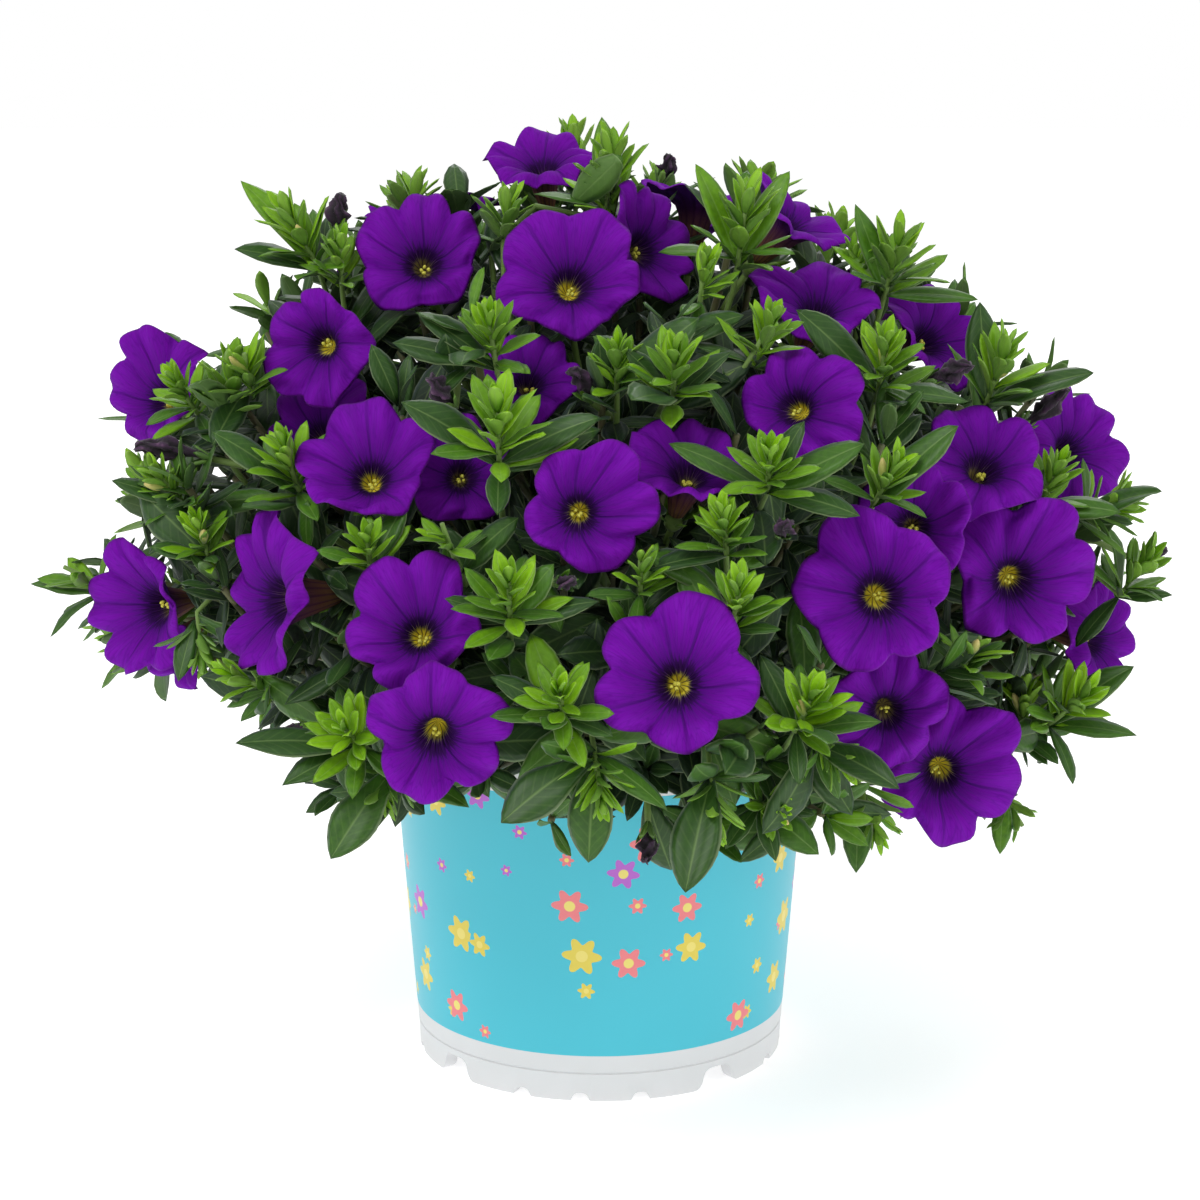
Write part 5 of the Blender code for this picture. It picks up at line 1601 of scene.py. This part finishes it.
def petal_finish(look):
    """Calibrachoa petal: thin and velvety, deep violet, nearly black round the throat. The throat is gold
    with dark lines, and darker veins run out along the middle of each lobe and the creases between them."""
    finish, shader, add = new_finish(
        "velvety petal", Roughness=0.75, Specular_IOR_Level=0.06, Sheen_Weight=0.03, Sheen_Roughness=0.45,
        Sheen_Tint=rgba("#9050D8"))
    disc = add("Attribute", attribute_name="pattern").outputs["Vector"]
    parts = add("SeparateXYZ", {0: disc})
    flat = add("CombineXYZ", {0: parts.outputs[0], 1: parts.outputs[1]})
    reach = add("VectorMath", {0: flat}, operation="LENGTH").outputs["Value"]
    turn = add("Math", {0: parts.outputs[1], 1: parts.outputs[0]}, operation="ARCTAN2")
    # Waves round the flower: one for each lobe, each dark line of the throat and each rib of the tube
    waves = []
    for count in (LOBES, THROAT_LINES, TUBE_RIBS):
        wave = add("Math", {0: turn, 1: count}, operation="MULTIPLY")
        waves.append(add("Math", {0: wave}, operation="COSINE"))
    lobes, stripes, ribs = waves
    # Fine streaks from the throat to the rim, about half a millimetre apart
    direction = add("VectorMath", {0: flat}, operation="NORMALIZE")
    direction = add("VectorMath", {0: direction, 3: 16}, operation="SCALE")
    along = add("Math", {0: reach, 1: 2.2}, operation="MULTIPLY")
    along = add("CombineXYZ", {2: along})
    streaked = add("VectorMath", {0: direction, 1: along}, operation="ADD")
    streaks = add("TexNoise", {"Vector": streaked, "Scale": 1, "Detail": 4, "Roughness": 0.65})
    middle = add("MapRange", {0: lobes, 1: -0.975, 2: -1})
    crease = add("MapRange", {0: lobes, 1: 0.97, 2: 1, 4: 0.6})
    lines = add("Math", {0: middle, 1: crease}, operation="MAXIMUM")
    fading = add("MapRange", {0: reach, 1: 0.3, 2: 1.0, 3: 0.9, 4: 0.2})
    lines = add("Math", {0: lines, 1: fading}, operation="MULTIPLY")
    # The dark ring frays outward along the streaks and the middle of each lobe
    frays = add("MapRange", {0: reach, 1: 0.1, 2: 0.3, 3: 0.06, 4: 0.65})
    frayed = add("Math", {0: 0.5, 1: streaks}, operation="SUBTRACT")
    frayed = add("Math", {0: frayed, 1: frays, 2: reach}, operation="MULTIPLY_ADD")
    frayed = add("Math", {0: lines, 1: -0.06, 2: frayed}, operation="MULTIPLY_ADD")
    stops = (
        (0.105, look.throat), (0.135, "#6E6A14"), (0.155, look.ring), (0.245, look.ring), (0.285, "#24043A"),
        (0.325, "#46066E"), (0.46, "#5A0682"), (0.72, look.limb), (1, look.limb),
    )
    colour = add("ValToRGB", {"Fac": frayed}, stops=stops)
    # Dark lines in the gold of the throat
    stripes = add("MapRange", {0: stripes, 1: 0.35, 2: 0.9, 4: 0.7})
    inside = add("MapRange", {0: reach, 1: 0.15, 2: 0.11})
    stripes = add("Math", {0: stripes, 1: inside}, operation="MULTIPLY")
    # Shade hides the gold of some throats
    tint = add("Attribute", attribute_name="tint").outputs["Vector"]
    tint = add("SeparateXYZ", {0: tint})
    shaded = add("MapRange", {0: reach, 1: 0.24, 2: 0.16})
    shade = add("Math", {0: 1, 1: tint.outputs[0]}, operation="SUBTRACT")
    shaded = add("Math", {0: shade, 1: shaded}, operation="MULTIPLY")
    # Paler violet along the streaks
    light = add("MapRange", {0: streaks, 1: 0.4, 2: 0.7, 4: 0.2})
    # A net of fine veins, drawn out from the throat to the rim
    cells = add("TexVoronoi", {"Vector": streaked, "Scale": 1.1}, feature="DISTANCE_TO_EDGE")
    net = add("MapRange", {0: cells, 1: 0.09, 2: 0.0, 4: 0.3})
    # A paler rim
    edge = add("MapRange", {0: reach, 1: 0.965, 2: 1.0, 4: 0.25})
    # The back: a mauve limb and a tube striped in brown, purple and dull gold
    back_stops = ((0.05, "#8A7038"), (0.2, "#6A4638"), (0.34, "#4A1C58"), (0.6, "#5E2490"), (1, "#6C2CA4"))
    back = add("ValToRGB", {"Fac": reach}, stops=back_stops)
    ribs = add("MapRange", {0: ribs, 1: 0.2, 2: 1, 4: 0.55})
    back = add("MixRGB", {0: ribs, 1: back, 2: "#3A1440"})
    behind = add("MapRange", {0: parts.outputs[2], 1: 0.3, 2: 0.7})
    layers = (
        (lines, "#2C0450"), (stripes, "#3A2A10"), (shaded, "#1E0A24"), (light, "#8230BE"), (net, "#3A0668"),
        (edge, "#9048B8"), (behind, back),
    )
    for share, shown in layers:
        colour = add("MixRGB", {0: share, 1: colour, 2: shown})
    height = add("Math", {0: lines, 1: -1.2, 2: streaks}, operation="MULTIPLY_ADD")
    bump = add("Bump", {"Height": height, "Strength": 0.5, "Distance": 0.5 * MM})
    return linked(finish, shader, colour, bump)


def pollen_finish():
    """Anthers and stigma: dusty, pale yellow-green."""
    finish, shader, add = new_finish("pollen", Roughness=0.8)
    place = add("TexCoord").outputs["Object"]
    grains = add("TexNoise", {"Vector": place, "Scale": 3000, "Detail": 2})
    colour = add("ValToRGB", {"Fac": grains}, stops=((0.3, "#B0A81A"), (0.7, "#E8E468")))
    bump = add("Bump", {"Height": grains, "Strength": 0.6, "Distance": 0.2 * MM})
    return linked(finish, shader, colour, bump)


def soil_finish():
    """Potting mix: damp, dark brown peat with paler fibres."""
    finish, shader, add = new_finish("peat potting mix", Roughness=0.95)
    place = add("TexCoord").outputs["Object"]
    crumbs = add("TexVoronoi", {"Vector": place, "Scale": 420})
    patches = add("TexNoise", {"Vector": place, "Scale": 260, "Detail": 5})
    stops = ((0.3, "#1A120C"), (0.6, "#33241A"), (0.8, "#5A4632"))
    colour = add("ValToRGB", {"Fac": patches}, stops=stops)
    bump = add("Bump", {"Height": crumbs, "Strength": 0.9, "Distance": 0.8 * MM})
    return linked(finish, shader, colour, bump)


def pot_finish(look):
    """Moulded polypropylene: white and satin. A sleeve printed in the mould covers the wall from the foot
    band to the rim: turquoise, strewn with small daisies."""
    finish, shader, add = new_finish("moulded polypropylene", Roughness=0.38, IOR=1.49)
    place = add("SeparateXYZ", {0: add("TexCoord").outputs["Object"]})
    backward = add("Math", {0: place.outputs[1], 1: -1}, operation="MULTIPLY")
    turn = add("Math", {0: place.outputs[0], 1: backward}, operation="ARCTAN2")
    flat = add("CombineXYZ", {0: place.outputs[0], 1: place.outputs[1]})
    radius = add("VectorMath", {0: flat}, operation="LENGTH").outputs["Value"]
    height = place.outputs[2]
    round_wall = add("Math", {0: turn, 1: MOTIF_WALL_RADIUS}, operation="MULTIPLY")
    unrolled = add("CombineXYZ", {0: round_wall, 1: height})
    colour = None
    for spacing, largest, shown in MOTIF_SIZES:
        # A cell for each motif, whose colour gives its size, its hue and whether it shows
        sockets = {"Vector": unrolled, "Scale": 1 / spacing, "Randomness": 0.8}
        cells = add("TexVoronoi", sockets, voronoi_dimensions="2D")
        local = add("VectorMath", {0: unrolled, 1: cells.outputs["Position"]}, operation="SUBTRACT")
        local = add("SeparateXYZ", {0: local})
        centre = add("SeparateXYZ", {0: cells.outputs["Position"]})
        chance = add("SeparateColor", {0: cells.outputs["Color"]})
        away = add("CombineXYZ", {0: local.outputs[0], 1: local.outputs[1]})
        away = add("VectorMath", {0: away}, operation="LENGTH").outputs["Value"]
        angle = add("Math", {0: local.outputs[1], 1: local.outputs[0]}, operation="ARCTAN2")
        angle = add("Math", {0: angle, 1: MOTIF_PETALS, 2: chance.outputs[1]}, operation="MULTIPLY_ADD")
        wave = add("Math", {0: angle}, operation="COSINE")
        sockets = {0: chance.outputs[0], 1: largest * 0.4, 2: largest * 0.6}
        size = add("Math", sockets, operation="MULTIPLY_ADD")
        petals = add("Math", {0: wave, 1: 0.2, 2: 0.8}, operation="MULTIPLY_ADD")
        outline = add("Math", {0: size, 1: petals}, operation="MULTIPLY")
        covered = add("Math", {0: away, 1: outline}, operation="LESS_THAN")
        seen = add("Math", {0: chance.outputs[2], 1: shown}, operation="LESS_THAN")
        # A motif keeps clear of the seam at the back and of the sleeve's lower edge
        seam = add("Math", {0: centre.outputs[0]}, operation="ABSOLUTE")
        limit = MOTIF_WALL_RADIUS * math.pi - largest
        seam = add("Math", {0: seam, 1: limit}, operation="LESS_THAN")
        limit = SLEEVE_FOOT[1] + largest
        low = add("Math", {0: centre.outputs[1], 1: limit}, operation="GREATER_THAN")
        for allowed in (seen, seam, low):
            covered = add("Math", {0: covered, 1: allowed}, operation="MULTIPLY")
        hue = add("ValToRGB", {"Fac": chance.outputs[1]}, stops=MOTIF_COLOURS)
        hue.color_ramp.interpolation = "CONSTANT"
        heart = add("Math", {0: size, 1: 0.3}, operation="MULTIPLY")
        heart = add("Math", {0: away, 1: heart}, operation="LESS_THAN")
        hue = add("MixRGB", {0: heart, 1: hue, 2: "#F4E27A"})
        colour = add("MixRGB", {0: covered, 1: colour or rgba(look.sleeve), 2: hue})
    # The print covers the outside of the wall between the sleeve's edges
    slope = (SLEEVE_HEAD[0] - SLEEVE_FOOT[0]) / (SLEEVE_HEAD[1] - SLEEVE_FOOT[1])
    outside = add("Math", {0: height, 1: -slope, 2: radius}, operation="MULTIPLY_ADD")
    level = SLEEVE_FOOT[0] - slope * SLEEVE_FOOT[1] - WALL / 2
    outside = add("Math", {0: outside, 1: level}, operation="GREATER_THAN")
    over = add("Math", {0: height, 1: SLEEVE_FOOT[1]}, operation="GREATER_THAN")
    below = add("Math", {0: height, 1: SLEEVE_HEAD[1]}, operation="LESS_THAN")
    printed = add("Math", {0: outside, 1: over}, operation="MULTIPLY")
    printed = add("Math", {0: printed, 1: below}, operation="MULTIPLY")
    # Faint flow marks in the white plastic, a few millimetres apart
    marks = add("TexNoise", {"Vector": unrolled, "Scale": 90, "Detail": 1})
    plastic = add("MapRange", {0: marks, 1: 0.2, 2: 0.8, 4: 0.5})
    plastic = add("MixRGB", {0: plastic, 1: rgba(look.plastic), 2: "#E6E6E8"})
    colour = add("MixRGB", {0: printed, 1: plastic, 2: colour})
    bump = add("Bump", {"Height": marks, "Strength": 0.08, "Distance": 0.3 * MM})
    return linked(finish, shader, colour, bump)


def floor_finish(look):
    """Paper backdrop: matt and white, lit until it shows almost pure white."""
    finish, shader, add = new_finish(
        "paper backdrop", Roughness=1.0, Emission_Color=rgba("#FFFFFF"), Emission_Strength=look.floor_glow)
    place = add("TexCoord").outputs["Object"]
    fibres = add("TexNoise", {"Vector": place, "Scale": 300, "Detail": 2})
    colour = add("MixRGB", {0: fibres, 1: "#F4F4F4", 2: "#FAFAFA"})
    return linked(finish, shader, colour)


# The pot, its filling and the stage


def solid_object(name, bm, finish):
    """A mesh object from a bmesh, shaded smooth but for its sharp corners."""
    bmesh.ops.recalc_face_normals(bm, faces=bm.faces)
    mesh = bpy.data.meshes.new(name)
    bm.to_mesh(mesh)
    bm.free()
    mesh.materials.append(finish)
    mesh.shade_smooth()
    mesh.set_sharp_from_angle(angle=SHARP_CORNER)
    return add_object(name, mesh)


def turned(profile, turns):
    """A solid turned about the pot's axis from a profile of radius and height."""
    bm = bmesh.new()
    verts = [bm.verts.new((radius, 0, height)) for radius, height in profile]
    edges = [bm.edges.new(pair) for pair in zip(verts, verts[1:])]
    bmesh.ops.spin(bm, geom=verts + edges, axis=UP, steps=turns, angle=2 * math.pi, use_merge=True)
    bmesh.ops.remove_doubles(bm, verts=bm.verts, dist=1e-6)
    for edge_loop in open_loops(bm):
        bmesh.ops.contextual_create(bm, geom=edge_loop)
    return bm


def open_loops(bm):
    """The open edges of a turned wall, one list for each height."""
    rims = {}
    for edge in bm.edges:
        if edge.is_boundary:
            rims.setdefault(round(edge.verts[0].co.z, 6), []).append(edge)
    return rims.values()


def arc(centre, radius, start, end, count):
    """Points of a rounded corner of the profile, between two angles in degrees."""
    turns = [math.radians(start + (end - start) * i / count) for i in range(count + 1)]
    return [(centre[0] + radius * math.cos(t), centre[1] + radius * math.sin(t)) for t in turns]


def pot_profile():
    """The pot's wall in section: foot ring, grooved band, sleeve and rolled rim, and back down inside."""
    groove, depth = BAND_GROOVE
    slope = (SLEEVE_FOOT[0] - BAND_RADIUS) / (SLEEVE_FOOT[1] - BAND_FOOT)
    rim_low = SLEEVE_HEAD[1] + 3.4 * MM
    outer = [(0, FLOOR_UNDERSIDE), (FOOT_INNER_RADIUS - 0.6 * MM, FLOOR_UNDERSIDE)]
    outer += [(FOOT_INNER_RADIUS, FLOOR_UNDERSIDE - 0.5 * MM), (FOOT_INNER_RADIUS, 0.4 * MM)]
    outer += [(FOOT_INNER_RADIUS + 0.4 * MM, 0), (FOOT_RADIUS - 0.5 * MM, 0)]
    outer += arc((FOOT_RADIUS - 0.4 * MM, 0.9 * MM), 0.9 * MM, -80, -20, 3)
    outer += [(BAND_RADIUS - 0.15 * MM, BAND_FOOT - 0.4 * MM), (BAND_RADIUS, BAND_FOOT)]
    outer += [(BAND_RADIUS - depth, groove), (BAND_RADIUS + slope * 0.6 * MM, groove + 0.3 * MM)]
    outer += [(SLEEVE_FOOT[0] - 0.1 * MM, SLEEVE_FOOT[1] - 0.5 * MM)]
    outer += [(SLEEVE_FOOT[0], SLEEVE_FOOT[1] - 0.1 * MM), SLEEVE_FOOT, SLEEVE_HEAD]
    outer += [(SLEEVE_HEAD[0] + 0.1 * MM, SLEEVE_HEAD[1] + 1.2 * MM)]
    outer += [(RIM_RADIUS - 0.5 * MM, rim_low - 0.5 * MM)]
    outer += arc((RIM_RADIUS - 0.6 * MM, rim_low + 0.6 * MM), 0.6 * MM, -50, 0, 3)
    outer += arc((RIM_RADIUS - RIM_ROLL, POT_HEIGHT - RIM_ROLL), RIM_ROLL, 0, 180, 12)
    floor = inner_radius(FLOOR_TOP)
    inner = [(inner_radius(SLEEVE_HEAD[1]), SLEEVE_HEAD[1]), (floor, FLOOR_TOP + 1.5 * MM)]
    return outer + inner + [(floor - 1.5 * MM, FLOOR_TOP), (0, FLOOR_TOP)]


def make_pot(look):
    """The pot, with its rolled rim, its foot ring cut into four broad, notched feet, and its drain holes."""
    pot = solid_object("moulded_pot", turned(pot_profile(), POT_TURNS), pot_finish(look))
    cutters = []
    foot_angle = 2 * math.pi / ARCH_COUNT
    for i in range(ARCH_COUNT):
        middle = -math.pi / 2 + FEET_TURN + i * foot_angle
        arch = middle + foot_angle / 2
        cutters.append(foot_cutter(arch, ARCH_WIDTH, ARCH_HEIGHT, ARCH_ROUNDING, ARCH_FLARE))
        for j in range(NOTCHES_PER_FOOT):
            notch = middle + (j - (NOTCHES_PER_FOOT - 1) / 2) * NOTCH_SPACING
            cutters.append(foot_cutter(notch, NOTCH_WIDTH, NOTCH_HEIGHT, NOTCH_ROUNDING, NOTCH_FLARE))
    for i in range(DRAIN_COUNT):
        turn = 2 * math.pi * i / DRAIN_COUNT
        centre = (DRAIN_RING * math.cos(turn), DRAIN_RING * math.sin(turn))
        cutters.append(post(centre, DRAIN_RADIUS, FLOOR_UNDERSIDE - 2 * MM, FLOOR_TOP + 2 * MM, 24))
    for cutter in cutters:
        tool = solid_object("cutter", cutter, pot.data.materials[0])
        cut = pot.modifiers.new("cut", "BOOLEAN")
        cut.operation = "DIFFERENCE"
        cut.solver = "EXACT"
        cut.object = tool
        apply_modifiers(pot)
        bpy.data.objects.remove(tool)
    pot.data.shade_smooth()
    pot.data.set_sharp_from_angle(angle=SHARP_CORNER)
    put(pot, ["pot"])


def apply_modifiers(thing):
    """Turns an object's modifiers into plain mesh."""
    graph = bpy.context.evaluated_depsgraph_get()
    made = bpy.data.meshes.new_from_object(thing.evaluated_get(graph), depsgraph=graph)
    thing.modifiers.clear()
    thing.data = made


def make_soil():
    """The potting mix: a loose, crumbed surface over a body that fills the pot."""
    top = [(inner_radius(SOIL_TOP) * share, SOIL_TOP) for share in tapering(0.86, 0, 26)]
    low = FLOOR_TOP + GAP
    shoulder = SOIL_TOP - 2 * MM
    profile = [(0, low), (inner_radius(low) - MM, low), (inner_radius(shoulder) - 0.6 * MM, shoulder)]
    bm = turned(profile + top, 96)
    for vert in bm.verts:
        if vert.co.z > SOIL_TOP - 0.1 * MM:
            vert.co.z += 1.4 * MM * noise.noise(vert.co * 320) + 0.9 * MM * noise.noise(vert.co * 900)
    put(solid_object("peat_mix", bm, soil_finish()), ["potting_mix"])


def add_light(name, place, size, power):
    """A round, soft light that looks at the plant."""
    lamp = bpy.data.lights.new(name, "AREA")
    lamp.shape = "DISK"
    lamp.size = size
    lamp.energy = power
    light = add_object(name, lamp)
    light.location = place
    light.rotation_euler = (LIT_POINT - light.location).to_track_quat("-Z", "Y").to_euler()


def make_stage(look):
    """The floor, the soft studio light and the camera at the photograph's angle."""
    bm = bmesh.new()
    bmesh.ops.create_grid(bm, x_segments=1, y_segments=1, size=FLOOR_SIZE)
    floor = solid_object("floor", bm, floor_finish(look))
    for name, (place, size, share) in LIGHTS.items():
        add_light(name, place, size, look.key_power * share)
    world = bpy.data.worlds.new("studio")
    world.use_nodes = True
    tree = world.node_tree
    tree.nodes.clear()
    seen = add_node(tree, "LightPath").outputs["Is Camera Ray"]
    strength = add_node(tree, "MapRange", {0: seen, 1: 0, 2: 1, 3: look.fill, 4: 1.0})
    white = add_node(tree, "Background", {"Color": rgba("#FFFFFF"), "Strength": strength})
    add_node(tree, "OutputWorld", {"Surface": white})
    scene = bpy.context.scene
    scene.world = world
    scene.view_settings.view_transform = "Standard"
    lens = bpy.data.cameras.new("camera")
    lens.sensor_width = SENSOR_WIDTH
    lens.lens = SENSOR_WIDTH * FOCAL_PIXELS / (2 * FRAME_CENTRE_PIXEL)
    camera = add_object("camera", lens)
    camera.location = EYE
    camera.rotation_euler = (math.pi / 2 - EYE_DIP, 0, 0)
    scene.camera = camera


# The add-on: what a user may change, the operators and their panel


def colour_property(name, description, default):
    return bpy.props.FloatVectorProperty(
        name=name, description=description, default=linear(default), subtype="COLOR", size=3, min=0, max=1)


class PotLook(bpy.types.PropertyGroup):
    """The pot's colours."""

    plastic: colour_property("Plastic", "Colour of the rim and the foot band", "#DDDEDF")
    sleeve: colour_property("Sleeve", "Colour of the printed wall", "#48C6DA")


class FlowerLook(bpy.types.PropertyGroup):
    """The flowers' colours and how much their rims wave."""

    limb: colour_property("Limb", "Colour of the open lobes", "#6E0C9C")
    ring: colour_property("Ring", "Dark colour round the throat", "#12031C")
    throat: colour_property("Throat", "Colour inside the throat", "#F4E41C")
    ruffle: bpy.props.FloatProperty(
        name="Ruffle", description="How strongly the rims wave", default=1.0, min=0, max=2, subtype="FACTOR")


class LeafLook(bpy.types.PropertyGroup):
    """The leaves' colours."""

    young: colour_property("Young leaf", "Colour of the leaves at the heart of a shoot", "#8ABE10")
    # The darkest leaf colour, for old leaves and for painted shade deep in the plant
    old_and_shaded: colour_property("Old leaf", "Colour of the leaves deep in the plant", "#1A301A")


class StageLook(bpy.types.PropertyGroup):
    """The stage's light."""

    key_power: bpy.props.FloatProperty(
        name="Key light", description="Power of the main light", default=14, min=0, unit="POWER")
    fill: bpy.props.FloatProperty(
        name="Fill", description="Strength of the even light from all round", default=0.6, min=0, max=3)
    floor_glow: bpy.props.FloatProperty(
        name="Floor glow", description="Own light of the backdrop, which keeps it white", default=0.45,
        min=0, max=2)


class CALIBRACHOA_OT_pot(bpy.types.Operator):
    """Make the moulded pot with its printed sleeve"""

    bl_idname = "calibrachoa.make_pot"
    bl_label = "Pot"

    def execute(self, context):
        make_pot(context.scene.calibrachoa_pot)
        return {"FINISHED"}


class CALIBRACHOA_OT_soil(bpy.types.Operator):
    """Make the potting mix"""

    bl_idname = "calibrachoa.make_soil"
    bl_label = "Potting mix"

    def execute(self, context):
        make_soil()
        return {"FINISHED"}


class CALIBRACHOA_OT_stems(bpy.types.Operator):
    """Make the leafy stems, with their shoots, calyxes, buds and spent flowers"""

    bl_idname = "calibrachoa.make_stems"
    bl_label = "Leafy stems"

    def execute(self, context):
        finishes = [leaf_finish(context.scene.calibrachoa_leaf), stem_finish(), spent_finish(), bud_finish()]
        for i, growth in enumerate(grow_stems()):
            growth.piece(f"leafy_stem_{i + 1:02d}", finishes, "leaf", [f"spray_{i + 1:02d}"])
        return {"FINISHED"}


class CALIBRACHOA_OT_flowers(bpy.types.Operator):
    """Make the open flowers"""

    bl_idname = "calibrachoa.make_flowers"
    bl_label = "Flowers"

    def execute(self, context):
        finishes = [petal_finish(context.scene.calibrachoa_flower), pollen_finish()]
        for i, flower in enumerate(read_plant().flowers):
            growth = grow_flower(i + 1, flower)
            growth.piece(f"corolla_{i + 1:02d}", finishes, "petal", [f"flower_{i + 1:02d}"])
        return {"FINISHED"}


class CALIBRACHOA_OT_stage(bpy.types.Operator):
    """Make the floor, the lights and the camera"""

    bl_idname = "calibrachoa.make_stage"
    bl_label = "Stage"

    def execute(self, context):
        make_stage(context.scene.calibrachoa_stage)
        return {"FINISHED"}


class CALIBRACHOA_PT_panel(bpy.types.Panel):
    """Lists the looks and the pieces"""

    bl_label = "Calibrachoa"
    bl_space_type = "VIEW_3D"
    bl_region_type = "UI"
    bl_category = "Calibrachoa"

    def draw(self, context):
        for name, group in LOOKS.items():
            look = getattr(context.scene, name)
            box = self.layout.box()
            for key in group.__annotations__:
                box.prop(look, key)
        for operator in OPERATORS:
            self.layout.operator(operator.bl_idname)


LOOKS = {
    "calibrachoa_pot": PotLook,
    "calibrachoa_flower": FlowerLook,
    "calibrachoa_leaf": LeafLook,
    "calibrachoa_stage": StageLook,
}
OPERATORS = (
    CALIBRACHOA_OT_pot,
    CALIBRACHOA_OT_soil,
    CALIBRACHOA_OT_stems,
    CALIBRACHOA_OT_flowers,
    CALIBRACHOA_OT_stage,
)
CLASSES = (*LOOKS.values(), *OPERATORS, CALIBRACHOA_PT_panel)


def register():
    for entry in CLASSES:
        bpy.utils.register_class(entry)
    for name, group in LOOKS.items():
        setattr(bpy.types.Scene, name, bpy.props.PointerProperty(type=group))


def unregister():
    for name in LOOKS:
        delattr(bpy.types.Scene, name)
    for entry in reversed(CLASSES):
        bpy.utils.unregister_class(entry)


def clear_scene():
    """Removes what a new Blender file starts with."""
    for name in ("Cube", "Light", "Camera"):
        if name in bpy.data.objects:
            bpy.data.objects.remove(bpy.data.objects[name])


def main():
    register()
    clear_scene()
    bpy.ops.calibrachoa.make_pot()
    bpy.ops.calibrachoa.make_soil()
    bpy.ops.calibrachoa.make_stems()
    bpy.ops.calibrachoa.make_flowers()
    bpy.ops.calibrachoa.make_stage()


if __name__ == "__main__":
    main()
